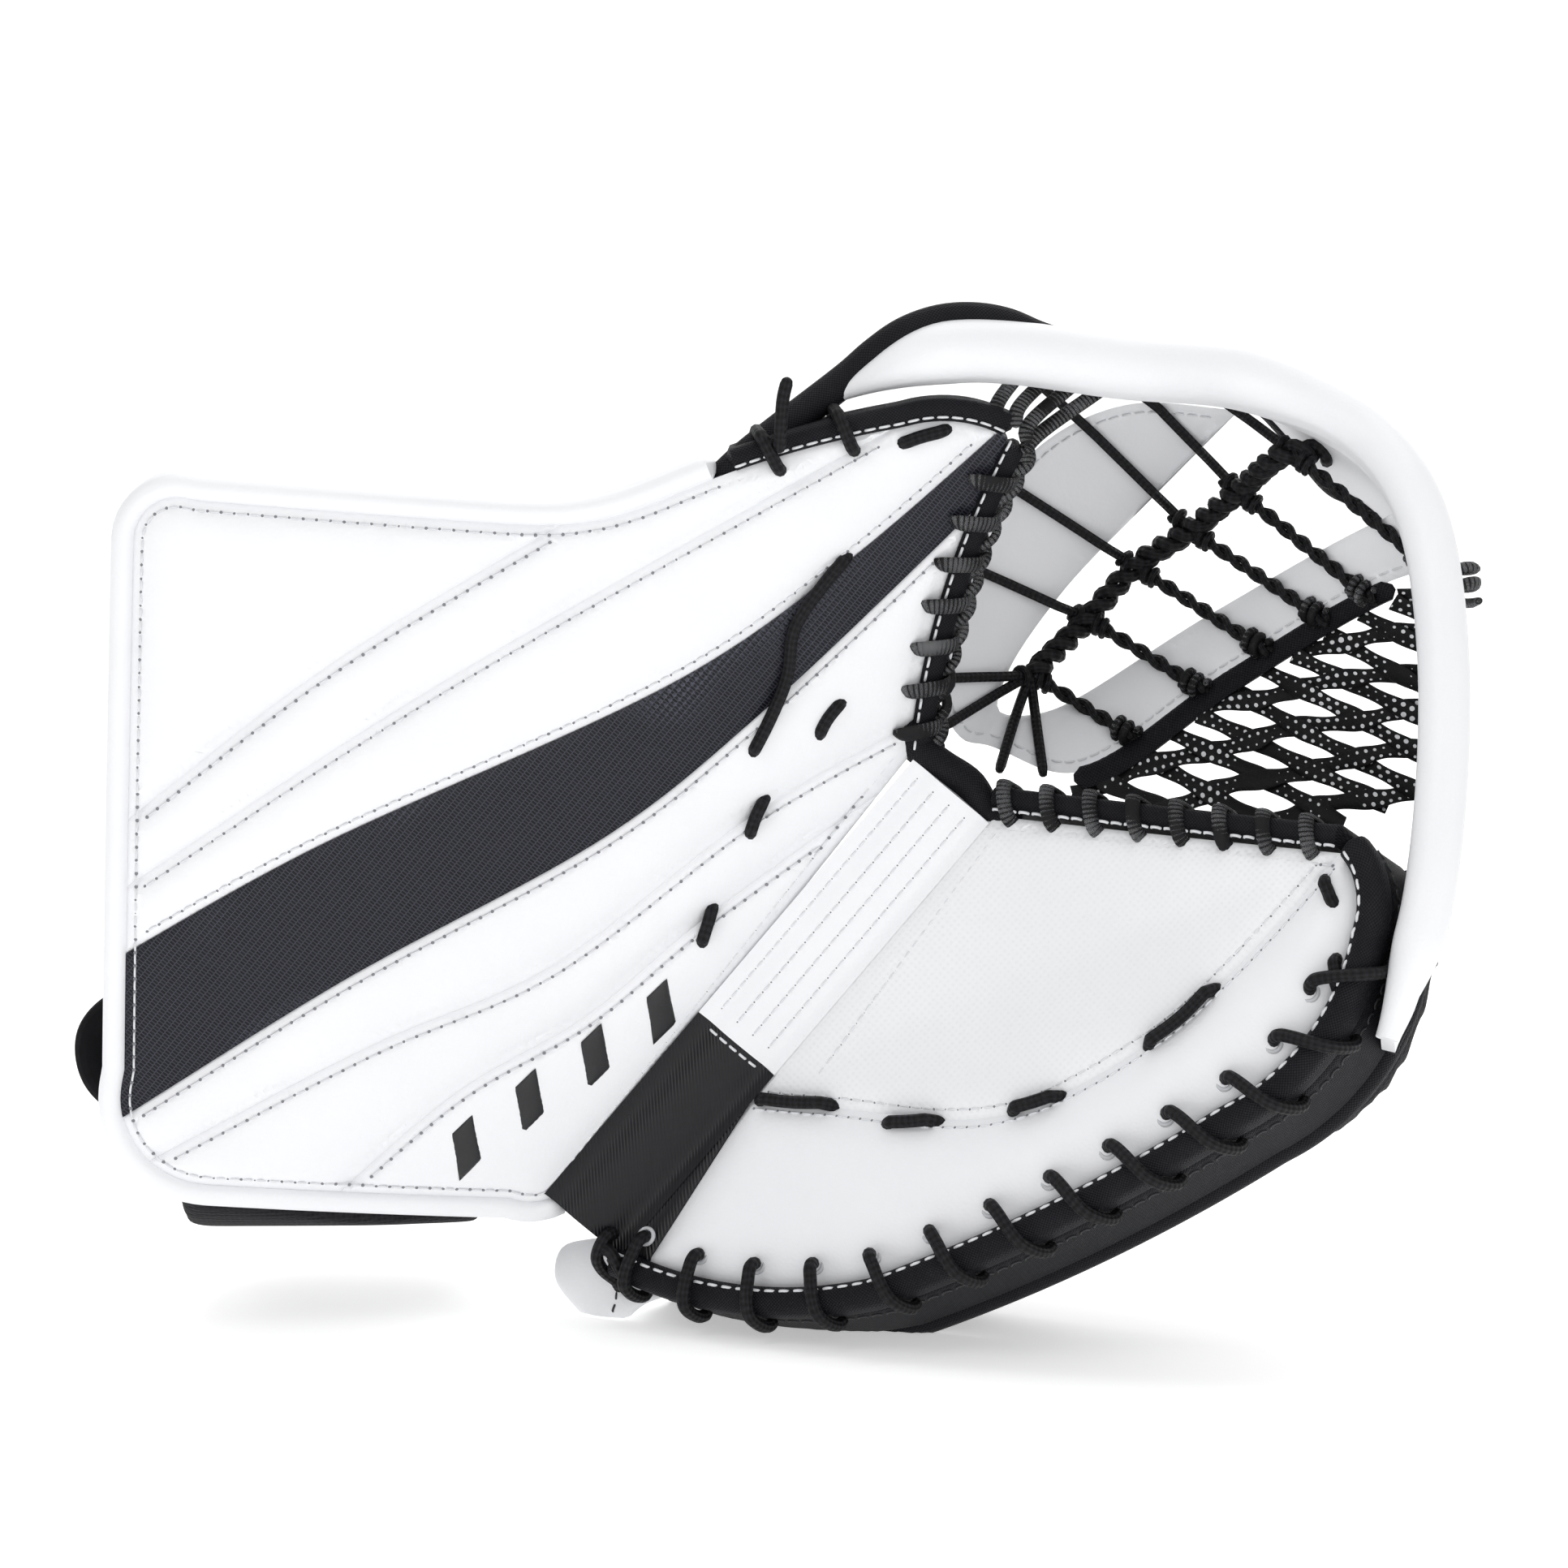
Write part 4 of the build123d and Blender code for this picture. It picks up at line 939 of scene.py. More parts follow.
def without_region(sheet, *regions):
    """The same sheet less some regions."""
    flat, triangles = sheet
    middle = flat[triangles].mean(1)
    keep = np.ones(len(triangles), bool)
    for region in regions:
        keep &= ~inside(middle, np.asarray(region, float))
    return flat, triangles[keep]


def dished(edge, crown, dish):
    """A cover that sinks a little towards its middle, as a worked palm does."""
    puff = puffed(edge, crown, 2.4, 0.6)
    return lambda flat, d: puff(flat, d) - dish * smooth_step(d / 45)


heel = slab("heel_gusset_cover", palm_sheet, finger_place, puffed(-1.2, 0.3, 2.2), level(-COVER), HEEL_REGION)
fit(heel, VINYL, "black_leather", FINGER, "heel_gusset", fill=0.2)
palm = slab(
    "palm_cover", without_region(palm_sheet, HEEL_REGION), finger_place, dished(-1.8, 0.9, 3.0),
    level(-COVER), PALM_REGION,
)
fit(palm, PALM, "white_leather", FINGER, "palm_panel", fill=0.5)
fingers = slab(
    "finger_cover", without_region(palm_sheet, HEEL_REGION, PALM_REGION), finger_place,
    puffed(-1.8, 3.6, 7.0), level(-COVER - 1.0),
)
fit(fingers, WHITE, "white_leather", FINGER, "finger_panel", fill=0.7)
palm_rows = seam_rows(PALM_SEAM, FINGER_OUTLINE, 3.0, -0.3) + seam_rows(PALM_SEAM, FINGER_OUTLINE, -3.0, 0.2)
palm_rows += [lifted(resample([(88, 17), (184, 17)], 2), -0.2)]
palm_rows += [lifted(resample([(88, 30), (188, 22)], 2), 0.1)]
palm_rows += [lifted(beside(PALM_TOP, 4.5), -0.2)]
stitches = threads(palm_rows, finger_place, 4.2, 3.0)
fit(thread_piece("palm_stitches", stitches, 0.7), THREAD, "white_leather", FINGER)
fit(needle_hole_shades("palm_needle_hole_shades", palm_rows, finger_place, 4.2), NEEDLE_HOLE_SHADE, "white_leather", FINGER)

finger_sheet = cut_sheet(FINGER_OUTLINE, [], 8.0, (1.2, 3.5))
foam = slab("finger_foam", finger_sheet, finger_place, puffed(-4.4, -3.05, 2), puffed(-15.6, -16.95, 2))
fit(foam, FOAM, "foam", FINGER, "finger_core", fill=0.8)
lining = slab("finger_hand_lining", finger_sheet, finger_place, level(-19.1), puffed(-20.4, -21.6, 9))
fit(lining, TRICOT, "lining", FINGER, "finger_lining", fill=0.5)

# ---- Finger rim, side wall and rear binding -------------------------------------------------------
RIM_TOP, RIM_BOTTOM, RIM_OUT = 2.0, -11.0, 9.0
rim_section = rounded_box((-0.5, RIM_BOTTOM), (RIM_OUT, RIM_TOP), 4.6)
rim = band("finger_rim_roll", FINGER_RIM, finger_flat, rim_section, -1)
fit(rim, BINDING, "binding", FINGER, "finger_rim", fill=0.9)
wall = band("little_finger_wall", FINGER_RIM, finger_flat, rounded_box((0, -38.6), (7.6, -10.4), 2.4), -1)
fit(wall, BINDING, "binding", FINGER, "side_wall", fill=0.6)
rear = band("rear_edge", FINGER_RIM, finger_flat, rounded_box((0, -47), (9, -38), 4.2), -1)
fit(rear, BINDING, "binding", FINGER, "rear_binding", fill=0.8)
palm_edge_line = resample([(256, 117), (189, 12)], 3)
palm_edge = band("palm_top_edge", palm_edge_line, finger_place, EDGE_SECTION, -1)
fit(palm_edge, BINDING, "binding", FINGER, "palm_edge_binding", fill=0.8)

rim_row = lifted(beside(FINGER_RIM, -1.6), 0.9)
wall_row = lifted(beside(FINGER_RIM, -7.7), -16.0)
stitches = threads([rim_row], finger_flat, 5.2, 3.6, 0.7)
stitches += threads([lifted(beside(PALM_TOP, -1.6), 0.6)], finger_place, 4.6, 3.2, 0.6)
fit(thread_piece("rim_stitches", stitches, 1.0), THREAD, "binding", FINGER)
stitches = threads([wall_row], finger_flat, 5.0, 3.4, 0.6)
fit(thread_piece("wall_stitches", stitches, 0.8), BLACK_THREAD, "black_leather", FINGER)

# Whipped lace over the rim, each turn slanting a little more towards the tip
RIM_LOOPS = 13
RIM_WHIP = [(-7.5, -2.5), (-7.0, 1.0), (-5.0, 3.6), (-1.0, 4.4), (4.5, 4.6), (9.5, 2.6), (11.4, -3.5)]
RIM_WHIP += [(10.8, -10), (8.2, -13)]
rim_run = run_along(FINGER_RIM)
rim_normals = normals(FINGER_RIM) * -1


def rim_point(run, out):
    centre = np.array([np.interp(run, rim_run, FINGER_RIM[:, k]) for k in (0, 1)])
    normal = np.array([np.interp(run, rim_run, rim_normals[:, k]) for k in (0, 1)])
    return centre + normal / np.linalg.norm(normal) * out


whips, eyelet_places = [], []
main_rim = rim_run[-1] * 0.87
for loop in range(RIM_LOOPS):
    share = loop / (RIM_LOOPS - 1)
    start = main_rim * (0.035 + 0.93 * share)
    advance = 2.0 + 15.0 * smooth_step(share * 1.3)
    points = []
    for step, (out, up) in enumerate(RIM_WHIP):
        flat = rim_point(start + advance * step / (len(RIM_WHIP) - 1), out)
        points.append((*flat, up))
    whips.append(smooth_line(finger_flat(points), 0.0012))
    eyelet_places.append(rim_point(start, -7.3))
lace = cord_piece("rim_lace", whips, LACE_RADIUS)
fit(lace, ROUND_LACE, "lace", FINGER, "rim_lacing")

FINGER_LACES = [
    [(70, 18), (78, 30), (87, 41)],
    [(93, 58), (100, 66), (107, 73)],
    [(124, 89), (132, 95), (140, 100)],
    [(168, 111), (183, 115), (198, 116)],
    [(245, 119), (243, 125), (240, 131)],
    [(230, 140), (226, 146), (221, 150)],
]
laces = [surface_lace(points, finger_place, 2.8) for points in FINGER_LACES]
fit(cord_piece("palm_lace", laces, LACE_RADIUS), ROUND_LACE, "lace", FINGER, "palm_lacing")


def ring_of_eyelets(name, places, place, up, radius=2.6, tube=0.75):
    """Clear eyelets set in the cover."""
    bpy.ops.object.select_all(action="DESELECT")
    parts = []
    for flat in places:
        at = place([(*flat, 1.0)])[0]
        bpy.ops.mesh.primitive_torus_add(
            major_radius=radius * MM, minor_radius=tube * MM, major_segments=20, minor_segments=8, location=at
        )
        ring = bpy.context.object
        ring.rotation_mode = "QUATERNION"
        ring.rotation_quaternion = Vector(up).to_track_quat("Z", "Y")
        parts.append(ring)
    bpy.ops.object.select_all(action="DESELECT")
    for ring in parts:
        ring.select_set(True)
    bpy.context.view_layer.objects.active = parts[0]
    bpy.ops.object.join()
    bpy.ops.object.transform_apply(location=True, rotation=True, scale=True)
    joined = bpy.context.object
    joined.name = name
    bpy.ops.object.shade_smooth()
    bpy.ops.object.select_all(action="DESELECT")
    return joined


eyelets = ring_of_eyelets("rim_eyelets", eyelet_places, finger_place, FINGER_UP)
fit(eyelets, EYELET, "white_leather", FINGER)

# ---- Heel tab, with its knot ----------------------------------------------------------------------
TAB_CORNERS = [(8, 10), (-2, -2), (-12, -9), (-20, -4), (-22, 8), (-21, 18), (-15, 25), (-6, 27)]
TAB_CORNERS += [(8, 33), (8, 10)]
tab_outline = smooth_line(TAB_CORNERS, 2)[:-1]
tab_sheet = cut_sheet(tab_outline, [], 4.0, (0.6, 1.5))
tab = slab("heel_tab_leather", tab_sheet, finger_flat, puffed(-15.2, -13.2, 1.6), level(-17))
fit(tab, WHITE, "white_leather", FINGER, "heel_tab", fill=0.3)
tab_row = [lifted(smooth_line([(-2, 2), (-5, 14), (-10, 20), (-16, 23)], 1), -13.4)]
stitches = threads(tab_row, finger_flat, 4, 2.6)
fit(thread_piece("heel_tab_stitches", stitches, 0.8), BLACK_THREAD, "black_leather", FINGER)
KNOT_LOOPS = [
    [(3, 12, -3), (2, 14, 3.5), (3, 18, 5), (1, 22, 2), (-2, 25, -6)],
    [(8, 11, -2), (5, 13, 5.5), (-1, 14.5, 4.5), (-4, 16, -1), (-5, 19, -9), (-7, 20, -12)],
]
knot = [smooth_line(finger_flat(points), 0.0012) for points in KNOT_LOOPS]
fit(cord_piece("heel_knot", knot, LACE_RADIUS), ROUND_LACE, "lace", FINGER)

# ---- Pocket rim, wall and binding: one line from the thumb over the corner to the fingers ----------
THUMB_RIM = [(243, 118, 29), (256, 112, 28), (291, 94, 27), (325, 44, 10), (345, 13, -4)]
FINGER_POCKET_RIM = [(358, 20, -8), (353, 56, -8), (322, 100, -8), (262, 152, -8), (222, 172, -8)]
rim_line = smooth_line(np.vstack([open_place(THUMB_RIM), finger_flat(FINGER_POCKET_RIM)]), 0.0025)
rim_way = np.gradient(rim_line, axis=0)
rim_way /= np.linalg.norm(rim_way, axis=1)[:, None]
rim_across = (rim_line - BREAK) @ ACROSS / MM
turn_share = smooth_step((18 - rim_across) / 36)[:, None]
rim_back = -FORWARD * (1 - turn_share) - FINGER_UP * turn_share
rim_back -= rim_way * (rim_back * rim_way).sum(1)[:, None]
rim_back /= np.linalg.norm(rim_back, axis=1)[:, None]
rim_side = np.cross(rim_back, rim_way)
pocket_middle = open_place([(270, 20, 0)])[0]
rim_side *= np.sign(((rim_line - pocket_middle) * rim_side).sum(1))[:, None]
rim_length = run_along(rim_line)


def along_rim(name, section, first, start, end=(0.7, 16), about=None):
    """A strip along the pocket's rim from a length on; its section is (outward, behind the rim's middle).

    start and end are the share of its size that the strip has there, and the length it grows over."""
    use = rim_length >= first * MM
    run = rim_length[use]
    size = start[0] + (1 - start[0]) * smooth_step((run - run[0]) / (start[1] * MM))
    size = size * (end[0] + (1 - end[0]) * smooth_step((run[-1] - run) / (end[1] * MM)))
    middle = section.mean(0) if about is None else np.array(about)
    rings = []
    slim = turn_share[use, 0]
    for p, out, back, scale, finger_share in zip(rim_line[use], rim_side[use], rim_back[use], size, slim):
        shape = (middle + (section - middle) * scale) * MM
        shape[:, 0] *= 1 - 0.16 * finger_share
        shape[:, 1] *= 1 - 0.2 * finger_share
        shape[:, 0] -= finger_share * (2.0 * MM + 0.42 * np.maximum(shape[:, 1], 0))
        ring = p + np.outer(shape[:, 0], out) + np.outer(shape[:, 1], back)
        ring[:, 2] = np.maximum(ring[:, 2], 0.0)
        rings.append(ring)
    loop = np.vstack([section, section[:1]])
    around = run_along(loop) * MM
    return loft(name, np.array(rings), run, around)


roll_turn = np.linspace(0, 2 * math.pi, 41)[:-1]
from_seam = np.angle(np.exp(1j * (roll_turn - math.radians(205))))
roll_size = POCKET_ROLL * (1 - 0.045 * np.exp(-((from_seam / 0.09) ** 2)))
ROLL_SECTION = np.column_stack([roll_size * np.cos(roll_turn), roll_size * np.sin(roll_turn)])
rim = along_rim("pocket_rim_roll", ROLL_SECTION, 8, start=(0.12, 48), end=(0.45, 34))
rim_nodes = ("pocket_rim_thumb", "pocket_rim_corner", "pocket_rim_finger")
fit_across(rim, WHITE, "white_leather", *rim_nodes, fill=0.9)
wall_section = rounded_box((-3.8, 4), (4.4, 43), 2.2)
wall = along_rim("pocket_side_wall", wall_section, 10, start=(0.5, 42), about=(0, 4))
fit_across(wall, WHITE, "white_leather", "pocket_wall_thumb", "pocket_wall_finger", fill=0.6)
bound_section = rounded_box((-5.5, 42), (5.5, 49), 3.2)
bound = along_rim("pocket_back_edge", bound_section, 10, start=(0.5, 42), about=(0, 4))
fit_across(bound, BINDING, "binding", "pocket_binding_thumb", "pocket_binding_finger", fill=0.8)

start_use = (rim_length > 24 * MM) & (rim_length < 96 * MM)
start_run = rim_length[start_use][:, None] / MM
start_out = (1.2 + 8.6 * smooth_step((start_run - 8) / 48) - 6.0 * smooth_step((start_run - 66) / 30)) * MM
start_line = rim_line[start_use] + rim_side[start_use] * start_out + rim_back[start_use] * 2.5 * MM
start_line = smooth_line(np.vstack([thumb_place([(214, 122, -9), (228, 120.5, -7)]), start_line[::4]]), 0.002)
rings, run = tube_rings(start_line, 0.0052, 16, 0.8)
start_edge = loft("pocket_start_edge", rings, run, np.linspace(0, 0.032, 17))
fit(start_edge, BINDING, "binding", THUMB, fill=0.6)

# ---- Pocket strap ---------------------------------------------------------------------------------
strap_outer = smooth_line([(202, -2), (199, 6), (206, 22), (245, 42), (285, 46), (314, 34), (336, 6)], 2.5)
strap_inner = smooth_line(
    [(287, 6), (251, 8), (222, 6), (212, 1), (222, -12), (281, -33), (334, -46), (347, -49)], 2.5
)
strap_lower = smooth_line([(335, -66), (324, -62), (268, -48), (214, -29), (202, -2)], 2.5)
strap_outline = join(strap_outer, strap_inner, strap_lower)[:-1]
strap_sheet = cut_sheet(strap_outline, [], 4.0)
strap = slab(
    "pocket_strap", strap_sheet, pocket_place, puffed(0.6, 2.0, 1.6, 0.6), puffed(-0.8, -2.0, 1.6)
)
fit_across(strap, WHITE, "white_leather", "pocket_strap_thumb", "pocket_strap_finger", reach=8.0, fill=0.4)
strap_rows = [
    lifted(row, 2.0)
    for line, offset in ((strap_outer, 3.2), (strap_inner, -3.2), (strap_lower, 3.2), (strap_inner, -9.5))
    for row in rows_inside(beside(line, offset), strap_outline, 2.6)
]
stitches = threads(strap_rows, pocket_place, 4.2, 3.0, 0.2)
fit_across(thread_piece("strap_stitches", stitches, 0.7), THREAD, "white_leather", reach=8.0)
bound_part = (strap_lower[:, 1] < -27) & (strap_lower[:, 0] < 326)
binding_line = strap_lower[bound_part] - (0, 2.2)
bound_section = rounded_box((-3.4, -3.0), (3.4, 3.0), 2.2)
strap_bound = band("pocket_strap_edge", binding_line, pocket_place, bound_section)
fit(strap_bound, BINDING, "binding", FINGER, "pocket_strap_binding", fill=0.6)

# ---- Flat lace net --------------------------------------------------------------------------------
NET_OUTLINE = np.array(
    [
        (208, -31), (269, -53), (334, -70), (325, -90), (293, -113), (264, -108), (240, -84), (216, -55),
        (202, -36),
    ],
    float,
)
NET_FAMILIES = [((13.0, -9.0), 12.0), ((5.0, -18.0), 10.2)]
NET_ORIGIN = np.array([232.5, -48.0])
RIBBON, RIBBON_THICK = 3.1, 0.7


def net_ribbons():
    """Flat laces in two ways, over and under each other, each as a strip of (centre, half width, height)."""
    ribbons = []
    for family, (way, gap) in enumerate(NET_FAMILIES):
        way = np.array(way) / math.hypot(*way)
        across = np.array([-way[1], way[0]])
        other = np.array(NET_FAMILIES[1 - family][0]) / math.hypot(*NET_FAMILIES[1 - family][0])
        other_gap = NET_FAMILIES[1 - family][1]
        for k in range(-9, 10):
            centre = NET_ORIGIN + across * gap * k
            line = centre + np.outer(np.arange(-120, 120, 1.2), way)
            for part in rows_inside(line, NET_OUTLINE, -1.0):
                part = resample(part, 1.2)
                stray = 0.8 * np.sin(part[:, 0] * 0.17 + 2.3 * k + family)
                part = part + across * stray[:, None]
                other_across = np.array([-other[1], other[0]])
                phase = (part - NET_ORIGIN) @ other_across / other_gap
                height = 1.6 * np.cos(math.pi * (phase + k + family))
                narrow = RIBBON * (0.86 + 0.14 * np.cos(2 * math.pi * phase))
                ribbons.append((part, across, narrow, height))
    return ribbons


def ribbon_piece(name, ribbons, place):
    """Flat laces as closed strips; the texture runs in metres along and across."""
    shape = np.array([(-1, 0), (-0.8, 1), (0, 1.15), (0.8, 1), (1, 0), (0.8, -1), (0, -1.15), (-0.8, -1)])
    across_run = np.append(shape[:, 0], shape[0, 0]) * RIBBON * MM
    strips = []
    for centre, across, half, height in ribbons:
        rows = len(centre)
        if rows < 4:
            continue
        rings = []
        for row in range(rows):
            flat = centre[row] + np.outer(shape[:, 0] * half[row], across)
            rings.append(place(np.column_stack([flat, height[row] + shape[:, 1] * RIBBON_THICK])))
        strips.append((np.array(rings), np.arange(rows) * 1.2 * MM, across_run))
    return skinned(name, strips, 70)


net = ribbon_piece("flat_net_laces", net_ribbons(), pocket_place)
fit(net, FLAT_LACE, "lace", FINGER, "flat_lace_net")

# ---- Pocket strings -------------------------------------------------------------------------------
BRAID_NODES = [(227, 0), (252, -4), (275, -5), (296, -10), (316, -12), (337, -14)]
LEFT_OVER = [(203, 33), (241, 42), (270, 44), (300, 34), (320, 26), (335, 14)]
LEFT_ENDS = [None, None, None, *thumb_place([(302, 76, -62), (318, 52, -62), (330, 32, -62)])[:, None]]
RIGHT_NODES = [(234, -37), (260, -46), (283, -53), (303, -59), (318, -64), (338, -68)]
BRAID_HEIGHT = 9.0


def node_place(node):
    return pocket_place([(*node, BRAID_HEIGHT)])[0]


def strung(start, end, step, lead=None):
    """A string laid over the pocket from one (along, across, proud) to another, and on to a far end."""
    share = np.linspace(0, 1, 14)[:, None]
    flat = np.asarray(start) * (1 - share) + np.asarray(end) * share
    flat[:, 2:] -= 8 * share * (1 - share)
    flat[:, 2] = np.maximum(flat[:, 2], 4.2)
    line = pocket_place(flat)
    return smooth_line(line if lead is None else np.vstack([line, lead]), step)


def twisted(line, reach, pitch):
    """Two strands laid round one another along a line, in metres."""
    _, side, up = frames_along(line)
    turn = run_along(line) / pitch * 2 * math.pi
    return [
        line + reach * (side * np.cos(turn + shift)[:, None] + up * np.sin(turn + shift)[:, None])
        for shift in (0, math.pi)
    ]


def coil(line, at, reach, turns, length):
    """A few turns of lace round a string, centred at a share of its length."""
    middle = int(at * (len(line) - 1))
    way = line[min(middle + 2, len(line) - 1)] - line[max(middle - 2, 0)]
    way /= np.linalg.norm(way)
    side = np.cross(way, FORWARD)
    side /= np.linalg.norm(side)
    up = np.cross(way, side)
    turn = np.linspace(0, turns * 2 * math.pi, int(turns * 14))
    along = np.linspace(-length / 2, length / 2, len(turn))
    round_it = np.outer(np.cos(turn), side) + np.outer(np.sin(turn), up)
    return line[middle] + np.outer(along, way) + reach * round_it


strings, pairs, wraps, knots = [], [], [], []
for node, over, left, right in zip(BRAID_NODES, LEFT_OVER, LEFT_ENDS, RIGHT_NODES):
    first = strung((*node, BRAID_HEIGHT), (*over, 4.4), 0.0016, left)
    second = strung((*node, BRAID_HEIGHT), (*right, 4.4), 0.0014)
    strings.append(first)
    pairs += twisted(second, 0.00125, 0.015)
    wraps.append(coil(second, 0.90, 0.0030, 2.6, 0.009))
    knots.append(coil(second, 0.10, 0.0026, 2.0, 0.006))
    knots.append(coil(first, 0.07, 0.0024, 1.6, 0.005))
for u, v in [(199, 14), (199, -9), (207, -21)]:
    strings.append(strung((*BRAID_NODES[0], BRAID_HEIGHT), (u, v, 3.4), 0.0016))
rungs = cord_piece("pocket_rung_strings", strings, 0.0017, 8)
fit_across(rungs, ROUND_LACE, "lace", "pocket_strings", reach=16.0)
fit_across(cord_piece("pocket_rung_pairs", pairs, 0.00125, 8), ROUND_LACE, "lace", reach=16.0)
fit_across(cord_piece("pocket_rung_knots", knots, 0.0012, 8), ROUND_LACE, "lace", reach=16.0)
fit_across(cord_piece("pocket_rung_wraps", wraps, 0.0015, 8), FLAT_LACE, "lace", reach=16.0)

braid_line = smooth_line(
    np.vstack([[node_place(n) for n in BRAID_NODES], finger_flat([(350, 14, -44)])]), 0.0012
)
_, braid_side, braid_up = frames_along(braid_line)
braid_run = np.arange(len(braid_line)) * 1.2
strands = []
for strand in range(2):
    angle = (braid_run / 13.0 * 2 * math.pi + strand * math.pi)[:, None]
    strands.append(braid_line + 0.0022 * (braid_side * np.cos(angle) + braid_up * np.sin(angle)))
fit_across(cord_piece("pocket_braid", strands, LACE_RADIUS, 8), ROUND_LACE, "lace", reach=16.0)

# ---- Edge whipping with flat dotted lace ------------------------------------------------------------
def whip_over(path, place, starts, section, slant, side):
    """Turns of flat lace over a bound edge, as lines in space."""
    run = run_along(path)
    out = normals(path) * side
    turns = []
    for start in starts:
        points = []
        for step, (reach, up) in enumerate(section):
            at = start + slant * step / (len(section) - 1)
            centre = np.array([np.interp(at, run, path[:, k]) for k in (0, 1)])
            normal = np.array([np.interp(at, run, out[:, k]) for k in (0, 1)])
            points.append((*(centre + normal * reach), up))
        turns.append(smooth_line(place(points), 0.0012))
    return turns


EDGE_WHIP = [(-4.5, -2.5), (-3.6, 1.2), (0, 2.9), (4, 3.0), (7.6, 1.2), (8.8, -5), (8.8, -14), (6.5, -20)]
thumb_turns = whip_over(THUMB_EDGE, thumb_place, np.arange(6, 96, 14), EDGE_WHIP, 8, 1)
fit(cord_piece("thumb_edge_whips", thumb_turns, 0.0028, 10, 0.35, FORWARD), FLAT_LACE, "lace", THUMB)
palm_turns = whip_over(palm_edge_line, finger_place, np.arange(8, 118, 15), EDGE_WHIP, 9, -1)
fit(cord_piece("palm_edge_whips", palm_turns, 0.0024, 10, 0.4, FINGER_UP), FLAT_LACE, "lace", FINGER)
top_turns = whip_over(THUMB_TOP, thumb_place, (50, 74), EDGE_WHIP, 5, 1)
top_turns.append(surface_lace([(260, 87), (267, 83), (275, 77)], thumb_place))
lace_tail = [(236, 114, 3.4), (243, 119, 5.5), (250, 124, 5.5), (256, 127, 4)]
top_turns.append(smooth_line(thumb_place(lace_tail), 0.0012))
fit(cord_piece("thumb_top_whips", top_turns, LACE_RADIUS), ROUND_LACE, "lace", THUMB)

edge_line = smooth_line(thumb_place(lifted(beside(THUMB_EDGE, 8.0), -5.0)), 0.0014)
rope = twisted(edge_line, 0.0020, 0.017)
fit(cord_piece("thumb_edge_rope", rope, 0.0019, 10, 0.75), FLAT_LACE, "lace", THUMB)
tip_laces = []
for (u, v), run in zip([(285, 67), (288, 61), (286, 55), (281, 51)], (0.080, 0.090, 0.100, 0.110)):
    stop = np.argmax(rim_length > run)
    far = rim_line[stop] - rim_side[stop] * 0.006 + rim_back[stop] * 0.006
    near = thumb_place([(u, v, -2.0), (u + 4, v + 3, -5.0)])
    tip_laces.append(smooth_line(np.vstack([near, far]), 0.0012))
fit_across(cord_piece("thumb_tip_laces", tip_laces, 0.0024, 10, 0.5, FORWARD), FLAT_LACE, "lace", reach=16.0)

stop = np.argmin(np.abs(rim_line[:, 2] - 0.243) + (rim_line[:, 0] < 0.1))
beyond = rim_line + rim_side * 0.0035 + rim_back * 0.008
side_knot = [coil(beyond[stop - 8:stop + 9], 0.5, 0.0042, 2.5, 0.014)]
fit(cord_piece("rim_side_knot", side_knot, 0.0022, 10, 0.7), FLAT_LACE, "lace", FINGER)

# Bound lip that carries the pocket's edge over the break
lip = smooth_line(
    np.vstack([
        thumb_place([(196, 27, -5), (190, 20, -5)]), open_place([(190, 8, 3), (191, -3, 2)]),
        finger_place([(188, 13, -5), (193, 23, -5)]),
    ]),
    0.002,
)
rings, run = tube_rings(lip, 0.0052, 16)
lip_piece = loft("pocket_lip_edge", rings, run, np.linspace(0, 0.032, 17))
fit_across(lip_piece, BINDING, "binding", reach=12.0, fill=0.8)

# Padding that shows under the cuff's lower edge, and the loop of webbing behind its outer edge
under_line = resample([(-41, 78), (4, 11)], 3)
under_section = rounded_box((0, -40), (10, -21), 4)
under = band("cuff_lower_padding", beside(under_line, 4.0), thumb_place, under_section, -1)
fit(under, PADDING, "padded_fabric", THUMB, fill=0.8)

strap_loop = smooth_line(
    [
        (-0.203, 0.021, 0.101), (-0.222, 0.022, 0.099), (-0.2315, 0.024, 0.089),
        (-0.2300, 0.024, 0.076), (-0.218, 0.022, 0.067), (-0.203, 0.021, 0.067),
    ],
    0.0012,
)
fit(cord_piece("wrist_strap_loop", [strap_loop], 0.0058, 14, 0.5, FORWARD), WEBBING, "webbing", THUMB)

# ---- Back of the hand, wrist and stalls -----------------------------------------------------------
def copied(name, node):
    """A piece with a CAD node's shape, its points merged."""
    source = frame["nodes"][node]
    piece = bpy.data.objects.new(name, source.data.copy())
    piece.data.materials.clear()
    bpy.context.scene.collection.objects.link(piece)
    shaped = bmesh.new()
    shaped.from_mesh(piece.data)
    bmesh.ops.remove_doubles(shaped, verts=shaped.verts, dist=1e-6)
    shaped.to_mesh(piece.data)
    shaped.free()
    return piece


def apply_modifiers(piece):
    bpy.ops.object.select_all(action="DESELECT")
    bpy.context.view_layer.objects.active = piece
    piece.select_set(True)
    for modifier in list(piece.modifiers):
        bpy.ops.object.modifier_apply(modifier=modifier.name)
    piece.select_set(False)


